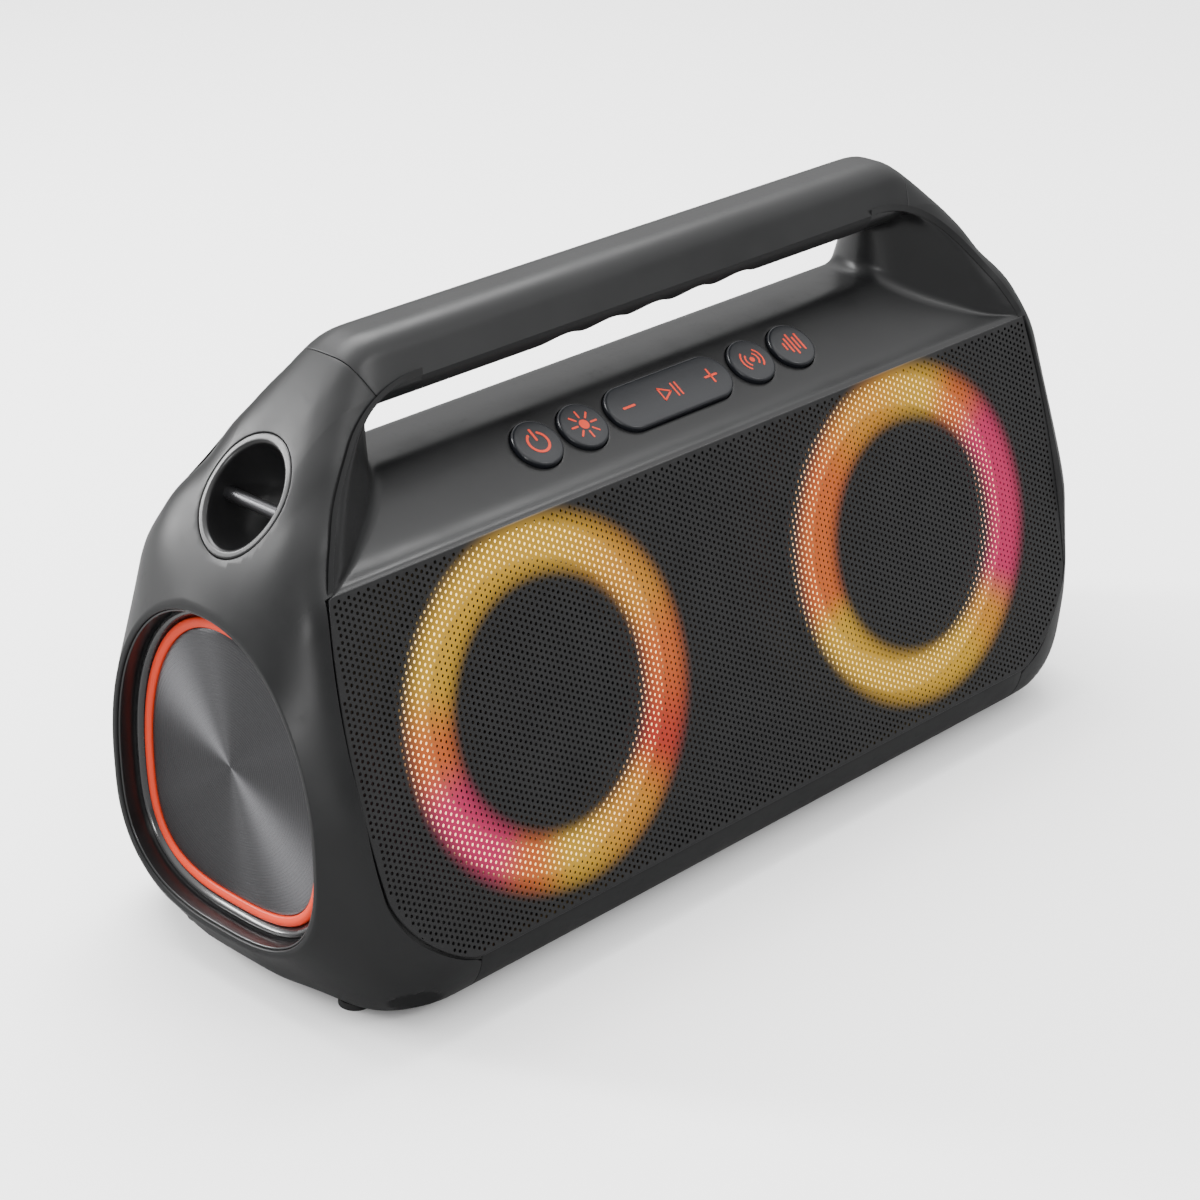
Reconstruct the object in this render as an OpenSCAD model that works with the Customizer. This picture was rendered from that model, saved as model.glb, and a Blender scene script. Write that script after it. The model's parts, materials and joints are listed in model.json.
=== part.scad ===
// Portable two-driver party speaker with a fixed carry handle, in millimetres.
// +Z up, front grille facing -Y, origin at the centre of the footprint on the ground.

/* [Body] */
// Overall width over the rims of the two end openings
body_w = 391; // [389:1:393]
// Height of the top of the handle above the ground
handle_top = 217; // [216:0.5:218]
// Wall thickness of the moulded shells
wall = 3; // [2.5:0.1:3.2]
// Height of the seam where the deck meets the grille
deck_edge_z = 152.3; // [152:0.1:152.6]
// Distance from the centre plane to the top edge of the grille
deck_edge_y = 42.3; // [42:0.1:42.6]
// Backward lean of the grille, in degrees from vertical
lean = 14.7; // [14.5:0.1:14.9]

/* [Grille] */
// Half width of the grille at its widest
grille_half_w = 182.4; // [181:0.2:183]
// Clear joint between the grille and the shells around it
joint_gap = 1.4; // [1.2:0.1:1.6]
// Thickness of the perforated sheet
sheet = 1.2; // [0.8:0.1:1.4]

/* [Drivers] */
// Distance from the centre plane to each driver axis
driver_x = 95.5; // [94:0.5:97]
// Outer radius of the light ring around a driver
light_r = 60; // [58:0.5:61]
// Radial width of the light ring
light_w = 11; // [9:0.5:11]
// Outer radius of the driver flange
driver_r = 48; // [47.5:0.5:48.5]

/* [Controls] */
// Radius of a round button
button_r = 9.6; // [9:0.1:9.8]
// Distance from the centre plane to the inner round buttons
inner_button_x = 43.1; // [42.5:0.1:44]
// Distance from the centre plane to the outer round buttons
outer_button_x = 65.1; // [64.5:0.1:67]
// Overall length of the volume and play key
key_len = 60; // [56:1:61]
// Height that the buttons stand proud of the deck
button_proud = 1.8; // [1.4:0.1:2.2]

/* [Ends] */
// Depth from the end rim to the radiator trim ring
end_depth = 9; // [8:0.5:9.5]
// Radius of the strap pocket mouth
pocket_r = 18; // [17:0.5:20.5]
// Depth of the strap pocket
pocket_depth = 23; // [20:1:24]

/* [Hidden] */

$fn = 64;
eps = 0.01;
slab = 0.4;             // thickness of the sections that a hull spans
fit_gap = 0.1;          // clearance round fixed screws and pins
key_gap = 0.25;         // clearance round buttons
rim_x = body_w / 2;

// Shells
foot_h = 1.2;           // ground clearance under the shells
floor_z = foot_h + wall;
seam_x = 146;           // seam between base pan and end caps
ledge = 8;              // width of the ledges that carry baffle and rear panel
panel_t = 3;
pan_corner_y = 53.7;
pan_corner_r = 22;
baffle_front = -12;
baffle_t = 4;
baffle_half_w = 179;
cap_ledge_x = 152;       // the caps' ledges start here

// Grille outline, in the grille plane: origin at driver height, +Y up the slope
grille_top = 63.2;
grille_bottom = -71;
bulge_y = 6;
bulge = 0.00157;
corner_y = -37;
corner_h = 34;
corner_n = 1.5;

// Point of the grille plane at driver height
plane_y = deck_edge_y + grille_top * sin(lean);
plane_z = deck_edge_z - grille_top * cos(lean);

// Deck: the button panel slopes up towards the handle
deck_slope = 32.5;
panel_y = -20.7;
panel_z = 164;
deck_ridge = 171.6;
deck_t = 3;

// Handle
handle_end_x = 134;
grip_split = 202;
grip_bottom = 193.5;
grip_pitch = 22;
grip_ridges = 6;
grip_dip = 4;

// End opening: rounded triangle, widest at rim_mid_z
rim_half_w = 50.2;
rim_mid_z = 68;
rim_up = 70;
rim_down = 46;
rim_n_up = 2.1;
rim_n_down = 2.8;
rim_land = 2;
trim_inset = 5;
trim_w = 4;
plate_t = 2.5;
surround_t = 1.6;

// Strap pocket, square to the 45 degree shoulder
pocket_x = 175.6;
pocket_z = 174.5;
pocket_tilt = 45;
pocket_flange = 3.5;
pocket_wall = 1.8;
strap_bar_r = 2.6;
strap_bar_depth = 9;

// Port recess in the rear panel
port_w = 62;
port_h = 26;
port_y = -34;
port_depth = 9;
port_pin_r = 1.2;
cover_t = 2.2;

// ---------------------------------------------------------------- outlines

function side_x(y) = grille_half_w - bulge * pow(y - bulge_y, 2);
function signed_pow(v, p) = sign(v) * pow(abs(v), p);

// Right half of the grille outline, grown outward by g, from the top corner down
function grille_right(g) = concat(
    [for (i = [0 : 6])
        let (y = grille_top + g + (corner_y - grille_top - g) * i / 6)
        [side_x(min(y, grille_top)) + g, y]],
    [for (i = [1 : 7])
        let (a = 90 * i / 8, half = side_x(corner_y) - corner_h)
        [half + (corner_h + g) * pow(cos(a), 2 / corner_n),
         corner_y - (corner_h + g) * pow(sin(a), 2 / corner_n)]],
    [[side_x(corner_y) - corner_h, grille_bottom - g]]);

function mirrored(pts) =
    concat(pts, [for (i = [len(pts) - 1 : -1 : 0]) [-pts[i][0], pts[i][1]]]);

module grille_shape(g = 0) polygon(mirrored(grille_right(g)));

// Rounded triangle of an end opening as [across, up], pulled in by inset
function rim_point(a, inset) =
    let (up = sin(a) >= 0, n = up ? rim_n_up : rim_n_down, h = up ? rim_up : rim_down)
    [(rim_half_w - inset) * signed_pow(cos(a), 2 / n),
     rim_mid_z + (h - inset) * signed_pow(sin(a), 2 / n)];

module rim_shape(inset = 0, steps = 48)
    polygon([for (i = [0 : steps - 1]) rim_point(360 * i / steps, inset)]);

// ---------------------------------------------------------------- placing

// Local +Z out of the front face, local +Y up the slope
module on_grille(x = 0)
    translate([x, -plane_y, plane_z]) rotate([90 - lean, 0, 0]) children();

module on_rear(x = 0) mirror([0, 1, 0]) on_grille(x) children();

// Local +Z out of the button panel, local +Y up the slope
module on_deck(x = 0)
    translate([x, panel_y, panel_z]) rotate([deck_slope, 0, 0]) children();

// Local +Z out of the end opening; side is -1 (left) or 1 (right), depth is inward
module on_end(side, depth = 0)
    scale_side(side) translate([rim_x - depth, 0, 0]) rotate([90, 0, 90]) children();

module scale_side(side)
    if (side > 0) children();
    else mirror([1, 0, 0]) children();

// Local +Z out of the strap pocket
module on_shoulder(side)
    scale_side(side) translate([pocket_x, 0, pocket_z]) rotate([0, pocket_tilt, 0]) children();

module ring(r_out, r_in, h) difference() {
    cylinder(r = r_out, h = h);
    translate([0, 0, -eps]) cylinder(r = r_in, h = h + 2 * eps);
}

module pill(length, r, h) {
    translate([-(length / 2 - r), -r, 0]) cube([length - 2 * r, 2 * r, h]);
    for (s = [-1, 1]) translate([s * (length / 2 - r), 0, 0]) cylinder(r = r, h = h);
}

// ---------------------------------------------------------------- outer form

// Cross-sections along X: [x, inward step of the inner skin, discs as [y, z, radius]]
SECTIONS = [
    [134, 0, [[5.5, handle_top - 11.5, 11.5], [38.5, deck_edge_z - 2.7, 4],
              [pan_corner_y, pan_corner_r + foot_h, pan_corner_r]]],
    [160, 2, [[14, 177, 16], [38.5, deck_edge_z - 2.7, 4], [53.4, 23.2, 22]]],
    [176, 2.5, [[25, 160.5, 16], [37.5, 148.5, 5], [44, 27.2, 26], [49, 50, 22.5]]],
    [184, 3, [[22, 143.5, 24], [26, 75, 42], [30, 48, 38], [12, 27.2, 24]]],
    [191, 3, [[13, 126, 27], [11, 76, 49], [17, 60, 43], [8, 36.2, 28]]]];
ring_steps = 36;

// Outermost point of a section in a direction: the section is the hull of its discs
function section_point(discs, dir, inset) =
    let (reach = [for (d = discs) d[0] * abs(dir[0]) + d[1] * dir[1] + d[2]],
         far = [for (i = [0 : len(discs) - 1]) if (reach[i] == max(reach)) discs[i]][0],
         across = abs(dir[0]) < eps ? 0 : sign(dir[0]) * far[0])
    [across + (far[2] - inset) * dir[0], far[1] + (far[2] - inset) * dir[1]];

// The same for the end rim, a superellipse in each half
function rim_support(dir, inset) =
    let (n = dir[1] >= 0 ? rim_n_up : rim_n_down, a = rim_half_w - inset,
         h = (dir[1] >= 0 ? rim_up : rim_down) - inset,
         p = abs(a * dir[0]), q = abs(h * dir[1]), m = n / (n - 1),
         size = pow(pow(p, m) + pow(q, m), 1 / n))
    [sign(dir[0]) * a * pow(p, m - 1) / size,
     rim_mid_z + sign(dir[1]) * h * pow(q, m - 1) / size];

// One ring of the skin on a side, as 3-D points
function skin_ring(side, k, inset) = [for (i = [0 : ring_steps - 1])
    let (a = 360 * i / ring_steps, dir = [cos(a), sin(a)],
         last = k == len(SECTIONS),
         p = last ? rim_support(dir, inset - rim_land) : section_point(SECTIONS[k][2], dir, inset),
         x = last ? rim_x - inset : SECTIONS[k][0] - SECTIONS[k][1] * inset / wall)
    [side * x, p[0], p[1]]];

// Whole envelope; inset > 0 gives the inner skin
module form(inset = 0) {
    last = len(SECTIONS);
    rings = concat([for (k = [last : -1 : 0]) skin_ring(-1, k, inset)],
                   [for (k = [0 : last]) skin_ring(1, k, inset)]);
    n = ring_steps;
    polyhedron([for (r = rings, p = r) p], concat(
        [for (r = [0 : len(rings) - 2], i = [0 : n - 1], half = [0, 1])
            let (a = r * n + i, b = r * n + (i + 1) % n)
            half == 0 ? [a, b + n, b] : [a, a + n, b + n]],
        [[for (i = [0 : n - 1]) i], [for (i = [n - 1 : -1 : 0]) (len(rings) - 1) * n + i]]));
}

// Front view of the part between the arms, from the seam curve outwards
arm_top = [135, 201.5];
arm_foot = [176.2, deck_edge_z - 3];
arm_sag = 4;

function arm_curve(g) = [for (i = [0 : 8])
    let (t = i / 8, dx = arm_top[0] - arm_foot[0], dz = arm_top[1] - arm_foot[1],
         l = norm([dx, dz]), bow = g + arm_sag * 4 * t * (1 - t))
    [arm_foot[0] + dx * t + bow * dz / l, arm_foot[1] + dz * t - bow * dx / l]];

module arm_shape(g) polygon(mirrored(concat(
    [[handle_end_x + 8 + g, handle_top + 4], [handle_end_x + 2 + g, 206]],
    [for (i = [8 : -1 : 0]) arm_curve(g)[i]],
    [[arm_foot[0] + g, deck_edge_z - 20]])));

module arm_core(g) rotate([90, 0, 0]) linear_extrude(200, center = true) arm_shape(g);

// Hand opening: narrow at the middle of the arms, flared to the front and rear faces
mid_half_w = 128;
face_tilt = 26.5;

module hand_half(g) hull() {
    translate([-mid_half_w - g, -slab, 120]) cube([2 * (mid_half_w + g), slab, 80.5 + g]);
    for (out = [0, 30])
        translate([0, -deck_edge_y - out, deck_edge_z]) rotate([90 - face_tilt, 0, 0])
            linear_extrude(slab) polygon(mirrored(concat(
                [for (i = [7 : -1 : 0])
                    [arm_curve(g)[i][0], (arm_curve(g)[i][1] - deck_edge_z) / cos(face_tilt)]],
                [[arm_foot[0] + g, -40]])));
}

module hand_opening(g = 0) intersection() {
    union() {
        hand_half(g);
        mirror([0, 1, 0]) hand_half(g);
    }
    rotate([90, 0, 90]) linear_extrude(400, center = true) deck_air(g);
}

// Space above the deck, as [across, up]; g lowers it into the deck
module deck_air(g) translate([0, -g]) polygon([
    [-120, deck_edge_z - 60], [-deck_edge_y - 0.2, deck_edge_z - 2],
    [-deck_edge_y + 0.8, deck_edge_z + 2.4], [-39.8, 156], [-37, 156.2], [-34, 155.9],
    [-31, 157.3], [-10.8, 170.2], [-7, deck_ridge], [8, deck_ridge], [16, 171],
    [22, 168.4], [38, 156.4], [deck_edge_y - 0.2, deck_edge_z],
    [120, deck_edge_z - 60], [120, 203 + g], [-120, 203 + g]]);

// Plugs that clear the grille and rear panel openings
module face_plug(g, depth, proud = 20)
    translate([0, 0, -depth]) linear_extrude(depth + proud) grille_shape(g);

module face_ledge(depth, t)
    translate([0, 0, -depth]) linear_extrude(t) difference() {
        grille_shape(16);
        grille_shape(-ledge);
    }

module both_plugs() {
    on_grille() face_plug(joint_gap, 14);
    on_rear() face_plug(0.4, 8);
}

module both_ledges() {
    on_grille() face_ledge(baffle_t - baffle_front + wall + fit_gap, wall);
    on_rear() face_ledge(panel_t + wall + fit_gap, wall);
}

screw_head_r = 3;
screw_r = 1.5;
rear_screws = [[-172, 30], [-174, -20], [-120, -62], [0, -63.5], [120, -62], [174, -20],
               [172, 30]];
module at_rear_screws() for (p = rear_screws) on_rear() translate([p[0], p[1], 0]) children();

// ---------------------------------------------------------------- shells

foot_x = 162;
foot_y = 40;
foot_len = 30;
foot_r = 6;
module foot_places()
    for (sx = [-1, 1], sy = [-1, 1]) translate([sx * foot_x, sy * foot_y, 0]) children();

module end_cap(side) color("#3d3e40") difference() {
    union() {
        difference() {
            form();
            form(wall);
            both_plugs();
        }
        intersection() {
            both_ledges();
            form(wall / 2);
            scale_side(side) translate([cap_ledge_x, -100, -10]) cube([200, 200, 240]);
        }
    }
    translate([-seam_x, -100, -5]) cube([2 * seam_x, 200, 75]);
    scale_side(side) translate([-250, -100, -5]) cube([370, 200, 230]);
    arm_core(0.1);
    on_end(side, 30) linear_extrude(40) rim_shape(0);
    on_shoulder(side) translate([0, 0, -pocket_depth - 1])
        cylinder(r = pocket_r + pocket_flange + 0.2, h = 50);
    for (p = rear_screws) on_rear() translate([p[0], p[1], -30])
        cylinder(r = screw_r + fit_gap, h = 40);
    foot_places() translate([0, 0, -1])
        pill(foot_len + 2 * fit_gap, foot_r + fit_gap, foot_h + 2.5);
}
module end_cap_left() end_cap(-1);
module end_cap_right() end_cap(1);

module deck_button_holes() {
    for (x = [-outer_button_x, -inner_button_x, inner_button_x, outer_button_x])
        on_deck(x) translate([0, 0, -12]) cylinder(r = button_r + key_gap, h = 20);
    on_deck() translate([0, 0, -12]) pill(key_len + 2 * key_gap, button_r + key_gap, 20);
}

module handle_deck() color("#454648") difference() {
    intersection() {
        form();
        arm_core(0);
        translate([-200, -100, deck_edge_z - 12]) cube([400, 200, 100]);
    }
    hand_opening();
    difference() {
        form(wall);
        hand_opening(deck_t);
    }
    both_plugs();
    grip_space(fit_gap);
    deck_button_holes();
    for (side = [-1, 1]) on_shoulder(side) translate([0, 0, -pocket_depth - 6])
        cylinder(r = pocket_r + pocket_flange + 0.2, h = 60);
}

// Lower half of the handle bar, from the split line down
module grip_space(g) translate([-handle_end_x + 8 - g, -60, grip_bottom - 6])
    cube([2 * (handle_end_x - 8 + g), 120, grip_split - grip_bottom + 6 + g]);

module handle_grip() color("#2c2d2f") difference() {
    translate([-handle_end_x + 8, 0, 0]) rotate([90, 0, 90])
        linear_extrude(2 * (handle_end_x - 8)) polygon([
            [-17.2, grip_split], [-16.9, grip_split - 3], [-12.5, grip_bottom + 1],
            [-9, grip_bottom], [9, grip_bottom], [12.5, grip_bottom + 1],
            [16.9, grip_split - 3], [17.2, grip_split]]);
    translate([-handle_end_x + 8 + wall, -11, grip_split - 4])
        cube([2 * (handle_end_x - 8 - wall), 22, 10]);
    for (i = [0 : grip_ridges - 2])
        translate([(i - (grip_ridges - 2) / 2) * grip_pitch, 0, grip_bottom - 16])
            rotate([90, 0, 0]) cylinder(r = 16 + grip_dip * 0.7, h = 60, center = true);
}

// Profile of the pan as [across, up], one round corner each side of a flat floor
pan_steps = 12;
pan_turn = 114;         // how far each corner turns up from the floor, in degrees
function pan_arc(r) = [for (i = [0 : pan_steps])
    let (a = -90 + pan_turn * i / pan_steps)
    [pan_corner_y + r * cos(a), pan_corner_r + foot_h + r * sin(a)]];
function flipped(pts) = [for (i = [len(pts) - 1 : -1 : 0]) [-pts[i][0], pts[i][1]]];
function backwards(pts) = [for (i = [len(pts) - 1 : -1 : 0]) pts[i]];

module pan_profile() polygon(concat(
    flipped(pan_arc(pan_corner_r)), pan_arc(pan_corner_r),
    backwards(pan_arc(pan_corner_r - wall)), backwards(flipped(pan_arc(pan_corner_r - wall)))));

// Rib across a bottom corner that carries a panel, at a given depth behind the face
module pan_rib(low, depth)
    translate([-seam_x + 2, low, -depth - wall])
        cube([2 * seam_x - 4, grille_bottom + ledge - low, wall]);

module base_pan() color("#303133") difference() {
    union() {
        translate([-seam_x + 0.1, 0, 0]) rotate([90, 0, 90])
            linear_extrude(2 * seam_x - 0.2) pan_profile();
        on_grille() pan_rib(-85, baffle_t - baffle_front + fit_gap);
        on_rear() pan_rib(-74, panel_t + fit_gap);
    }
    both_plugs();
    at_rear_screws() translate([0, 0, -30]) cylinder(r = screw_r + fit_gap, h = 40);
    at_bracket_screws() translate([0, 0, -5]) cylinder(r = screw_r + fit_gap, h = 20);
}

// Axis of the cover's pin, in the rear panel's frame: local +Z runs along X
port_pin_up = 3.6;      // above the lower wall of the recess
port_pin_depth = 2.4;
knuckle_r = 2.4;
module at_port_pin() translate([0, port_y - port_h / 2 + port_pin_up, -port_pin_depth])
    rotate([0, 90, 0]) children();

module port_pocket(g) translate([0, port_y, 0])
    translate([-port_w / 2 - g, -port_h / 2 - g, -port_depth - g])
        cube([port_w + 2 * g, port_h + 2 * g, port_depth + 20]);

module rear_panel() color("#38393b") on_rear() difference() {
    union() {
        translate([0, 0, -panel_t]) linear_extrude(panel_t) grille_shape(0);
        intersection() {
            port_pocket(2);
            translate([-100, -100, -50]) cube([200, 200, 50 - eps]);
        }
    }
    difference() {
        port_pocket(0);
        for (s = [-1, 1]) at_port_pin() translate([0, 0, s * (port_w / 2 - 3)])
            cylinder(r = knuckle_r, h = 8, center = true);
    }
    at_port_pin() cylinder(r = port_pin_r + 0.05, h = port_w + 3, center = true);
    for (j = jacks) translate([j[0], port_y + j[1], -port_depth - 5]) jack_body(j, 0.1, 10);
    for (p = rear_screws) translate([p[0], p[1], -10]) {
        cylinder(r = screw_r + fit_gap, h = 20);
        translate([0, 0, 10 - 1.4]) cylinder(r = screw_head_r + fit_gap, h = 10);
    }
}

module front_baffle() color("#1d1d1f") on_grille() difference() {
    translate([0, 0, baffle_front - baffle_t]) linear_extrude(baffle_t) intersection() {
        grille_shape(0.8);
        square([2 * baffle_half_w, 200], center = true);
    }
    for (s = [-1, 1]) translate([s * driver_x, 0, baffle_front - 10]) {
        cylinder(r = driver_r - 5, h = 20);
        for (a = [45 : 90 : 315]) rotate(a) translate([driver_r - 2.5, 0, 0])
            cylinder(r = screw_r + fit_gap, h = 20);
    }
}

module front_grille() color("#2a2a2c") on_grille() {
    translate([0, 0, -sheet]) linear_extrude(sheet) grille_shape(0);
    translate([0, 0, -7]) linear_extrude(7 - sheet) difference() {
        grille_shape(0);
        grille_shape(-sheet);
    }
}

module grille_gasket() color("#101010") on_grille()
    translate([0, 0, -9]) linear_extrude(7.4) difference() {
        grille_shape(joint_gap - 0.1);
        grille_shape(0.1);
    }

module rubber_feet() color("#151515") foot_places() pill(foot_len, foot_r, foot_h + 1.4);

module case_screws() color("#5a5a5c") at_rear_screws() {
    translate([0, 0, -1.4]) difference() {
        cylinder(r = screw_head_r, h = 1.3);
        translate([0, 0, 0.6]) cylinder(r = 1.1, h = 1, $fn = 6);
    }
    translate([0, 0, -12]) cylinder(r = screw_r, h = 11);
}

module driver_screws() color("#8a8a8c") for (s = [-1, 1]) on_grille(s * driver_x)
    for (a = [45 : 90 : 315]) rotate(a) translate([driver_r - 2.5, 0, 0]) {
        translate([0, 0, baffle_front + flange_t + fit_gap / 2]) cylinder(r = 2.2, h = 1.2);
        translate([0, 0, baffle_front - 6]) cylinder(r = screw_r - 0.2, h = 6 + flange_t + 0.1);
    }

// ---------------------------------------------------------------- drivers

flange_t = 2.4;
cone_rim = 36;
coil_r = 13;
coil_t = 0.8;
basket_back = -38;
magnet_r = 30;
magnet_back = -58;
pole_r = 11.6;

module woofer_basket(side) color("#26272a") on_grille(side * driver_x) difference() {
    union() {
        translate([0, 0, baffle_front]) ring(driver_r, driver_r - 5.5, flange_t);
        translate([0, 0, basket_back]) cylinder(r1 = magnet_r + 2, r2 = driver_r - 5.2,
            h = baffle_front - basket_back + 0.5);
    }
    translate([0, 0, basket_back + 2]) cylinder(r1 = magnet_r, r2 = driver_r - 7,
        h = baffle_front - basket_back + 2);
    translate([0, 0, basket_back - 5]) cylinder(r = coil_r + 2, h = 20);
    for (a = [0 : 60 : 300]) rotate(a + 30) translate([22, -9, basket_back + 6])
        cube([30, 18, 13]);
    for (a = [45 : 90 : 315]) rotate(a) translate([driver_r - 2.5, 0, baffle_front - 1])
        cylinder(r = screw_r + fit_gap, h = 8);
}

module woofer_magnet(side) color("#3a3b3e") on_grille(side * driver_x) {
    translate([0, 0, magnet_back]) difference() {
        cylinder(r = magnet_r, h = basket_back - magnet_back - 0.02);
        translate([0, 0, 4]) cylinder(r = coil_r + 0.5, h = 40);
    }
    translate([0, 0, magnet_back + 4]) cylinder(r = pole_r, h = basket_back - magnet_back - 4);
}

module woofer_cone(side) color("#222222") on_grille(side * driver_x) difference() {
    translate([0, 0, -25]) cylinder(r1 = coil_r + 1.4, r2 = cone_rim, h = 14);
    translate([0, 0, -24]) cylinder(r1 = coil_r + 1.4, r2 = cone_rim, h = 14);
    translate([0, 0, -30]) cylinder(r = coil_r + 0.4, h = 20);
}

module dust_cap(side) color("#2b2b2b") on_grille(side * driver_x)
    translate([0, 0, -22.4]) rotate_extrude() difference() {
        intersection() {
            translate([0, -20]) circle(r = 26);
            square([coil_r + 0.3, 30]);
        }
        translate([0, -20.8]) circle(r = 26);
        translate([-50, -50]) square([50, 100]);
    }

module voice_coil(side) color("#b87333") on_grille(side * driver_x)
    translate([0, 0, -50]) ring(coil_r, coil_r - coil_t, 27.2);

module woofer_surround(side) color("#111111") on_grille(side * driver_x)
    translate([0, 0, -10.6]) rotate_extrude() difference() {
        intersection() {
            translate([(cone_rim + driver_r - 6) / 2, 0]) circle(r = 3.3);
            square([80, 10]);
        }
        translate([(cone_rim + driver_r - 6) / 2, 0]) circle(r = 2.4);
    }

module spider(side) color("#a8672c") on_grille(side * driver_x)
    translate([0, 0, -34]) ring(magnet_r - 2, coil_r + 0.5, 1);

module led_board(side) color("#0d3320") on_grille(side * driver_x)
    translate([0, 0, baffle_front]) ring(light_r, light_r - light_w, 1.2);

module led_ring(side) color("#ffb020") on_grille(side * driver_x)
    translate([0, 0, baffle_front + 1.25]) rotate_extrude() polygon([
        [light_r - light_w, 0], [light_r, 0], [light_r, 2.6], [light_r - 1.5, 4.4],
        [light_r - light_w + 1.5, 4.4], [light_r - light_w, 2.6]]);

module woofer_basket_left() woofer_basket(-1);
module woofer_basket_right() woofer_basket(1);
module woofer_magnet_left() woofer_magnet(-1);
module woofer_magnet_right() woofer_magnet(1);
module woofer_cone_left() woofer_cone(-1);
module woofer_cone_right() woofer_cone(1);
module woofer_surround_left() woofer_surround(-1);
module woofer_surround_right() woofer_surround(1);
module dust_cap_left() dust_cap(-1);
module dust_cap_right() dust_cap(1);
module voice_coil_left() voice_coil(-1);
module voice_coil_right() voice_coil(1);
module spider_left() spider(-1);
module spider_right() spider(1);
module led_ring_left() led_ring(-1);
module led_ring_right() led_ring(1);
module led_board_left() led_board(-1);
module led_board_right() led_board(1);

// ---------------------------------------------------------------- passive radiators

module rim_ring(outer, inner, h) linear_extrude(h) difference() {
    rim_shape(outer);
    rim_shape(inner);
}

// Glossy sleeve lining the end opening, with a rear flange behind the shell
module radiator_frame(side) color("#0c0c0d") {
    on_end(side, end_depth + 4) rim_ring(0.2, 1.8, end_depth + 3);
    on_end(side, end_depth + 6.5) rim_ring(0.2, 4.2, 2.5);
}

module radiator_surround(side) color("#090909") on_end(side, end_depth + 2.6)
    rim_ring(1.9, trim_inset - 0.1, surround_t);

module radiator_trim(side) color("#f04a28") on_end(side, end_depth + 2)
    rim_ring(trim_inset, trim_inset + trim_w, 3.4);

module radiator_plate(side) color("#4a4a4c") on_end(side, end_depth + 2 + 0.4)
    linear_extrude(plate_t) rim_shape(trim_inset + trim_w + 0.02);

module radiator_frame_left() radiator_frame(-1);
module radiator_frame_right() radiator_frame(1);
module radiator_surround_left() radiator_surround(-1);
module radiator_surround_right() radiator_surround(1);
module radiator_plate_left() radiator_plate(-1);
module radiator_plate_right() radiator_plate(1);
module radiator_trim_left() radiator_trim(-1);
module radiator_trim_right() radiator_trim(1);

// ---------------------------------------------------------------- strap pockets

module strap_cup(side) color("#1a1a1b") intersection() {
    form();
    on_shoulder(side) cup_body();
}

module cup_body() difference() {
    union() {
        translate([0, 0, -6]) cylinder(r = pocket_r + pocket_flange, h = 16);
        translate([0, 0, -pocket_depth]) cylinder(r = pocket_r + pocket_wall, h = pocket_depth);
    }
    translate([0, 0, -pocket_depth + pocket_wall]) rotate_extrude() union() {
        square([pocket_r - 8, 40]);
        translate([0, 8]) square([pocket_r, 40]);
        intersection() {
            translate([pocket_r - 8, 8]) circle(r = 8);
            square([pocket_r + 1, 9]);
        }
    }
    translate([0, 0, -strap_bar_depth]) rotate([90, 0, 0])
        cylinder(r = strap_bar_r + 0.02, h = 2 * pocket_r + 1.6, center = true);
}

module strap_bar(side) color("#2a2a2b") on_shoulder(side) translate([0, 0, -strap_bar_depth])
    rotate([90, 0, 0]) cylinder(r = strap_bar_r, h = 2 * pocket_r + 1.4, center = true);

module strap_cup_left() strap_cup(-1);
module strap_cup_right() strap_cup(1);
module strap_bar_left() strap_bar(-1);
module strap_bar_right() strap_bar(1);

// ---------------------------------------------------------------- controls

skirt_t = 1;
membrane_top = -deck_t - skirt_t - 2.1;
plunger_r = 3;

edge_h = 0.8;           // height of the eased edge round a button's top

module round_button(x) color("#23272e") on_deck(x) {
    translate([0, 0, -deck_t - skirt_t])
        cylinder(r = button_r, h = deck_t + skirt_t + button_proud - edge_h);
    translate([0, 0, button_proud - edge_h])
        cylinder(r1 = button_r, r2 = button_r - 0.9, h = edge_h);
    translate([0, 0, -deck_t - skirt_t - 0.1]) cylinder(r = button_r + 1, h = skirt_t);
    translate([0, 0, membrane_top + 1]) cylinder(r = plunger_r, h = skirt_t + 1);
}
module power_button() round_button(-outer_button_x);
module light_button() round_button(-inner_button_x);
module wireless_button() round_button(inner_button_x);
module bass_button() round_button(outer_button_x);

pivot_z = -3.2;
pivot_r = 1;

module volume_play_key() color("#23272e") on_deck() difference() {
    union() {
        translate([0, 0, -2]) pill(key_len, button_r, 2 + button_proud - edge_h);
        translate([0, 0, button_proud - edge_h]) pill(key_len - 0.8, button_r - 0.4, edge_h);
        for (s = [-1, 1]) translate([-1.9, s * 6 - 1.2, pivot_z - 1.9]) cube([3.8, 2.4, 3.2]);
    }
    translate([0, 0, pivot_z]) rotate([90, 0, 0])
        cylinder(r = pivot_r + 0.05, h = 40, center = true);
}

module key_carrier() color("#c9c9c4") on_deck() {
    translate([0, 0, pivot_z]) rotate([90, 0, 0]) cylinder(r = pivot_r, h = 15, center = true);
    translate([-1.9, -4.4, pivot_z - 1.8]) cube([3.8, 8.8, 2.6]);
}

switch_top = membrane_top - 1.1;
board_top = switch_top - 2.2;
switch_x = [-outer_button_x, -inner_button_x, -20.9, 0, 20.9, inner_button_x, outer_button_x];
strip_len = 2 * outer_button_x + 2 * button_r + 6;

// Strip under all the keys, from its lowest face up
module key_strip(low, t)
    translate([-strip_len / 2, -button_r - 1, low]) cube([strip_len, 2 * button_r + 2, t]);

module keypad_membrane() color("#4b4d52") on_deck() key_strip(membrane_top - 1, 0.9);

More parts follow.
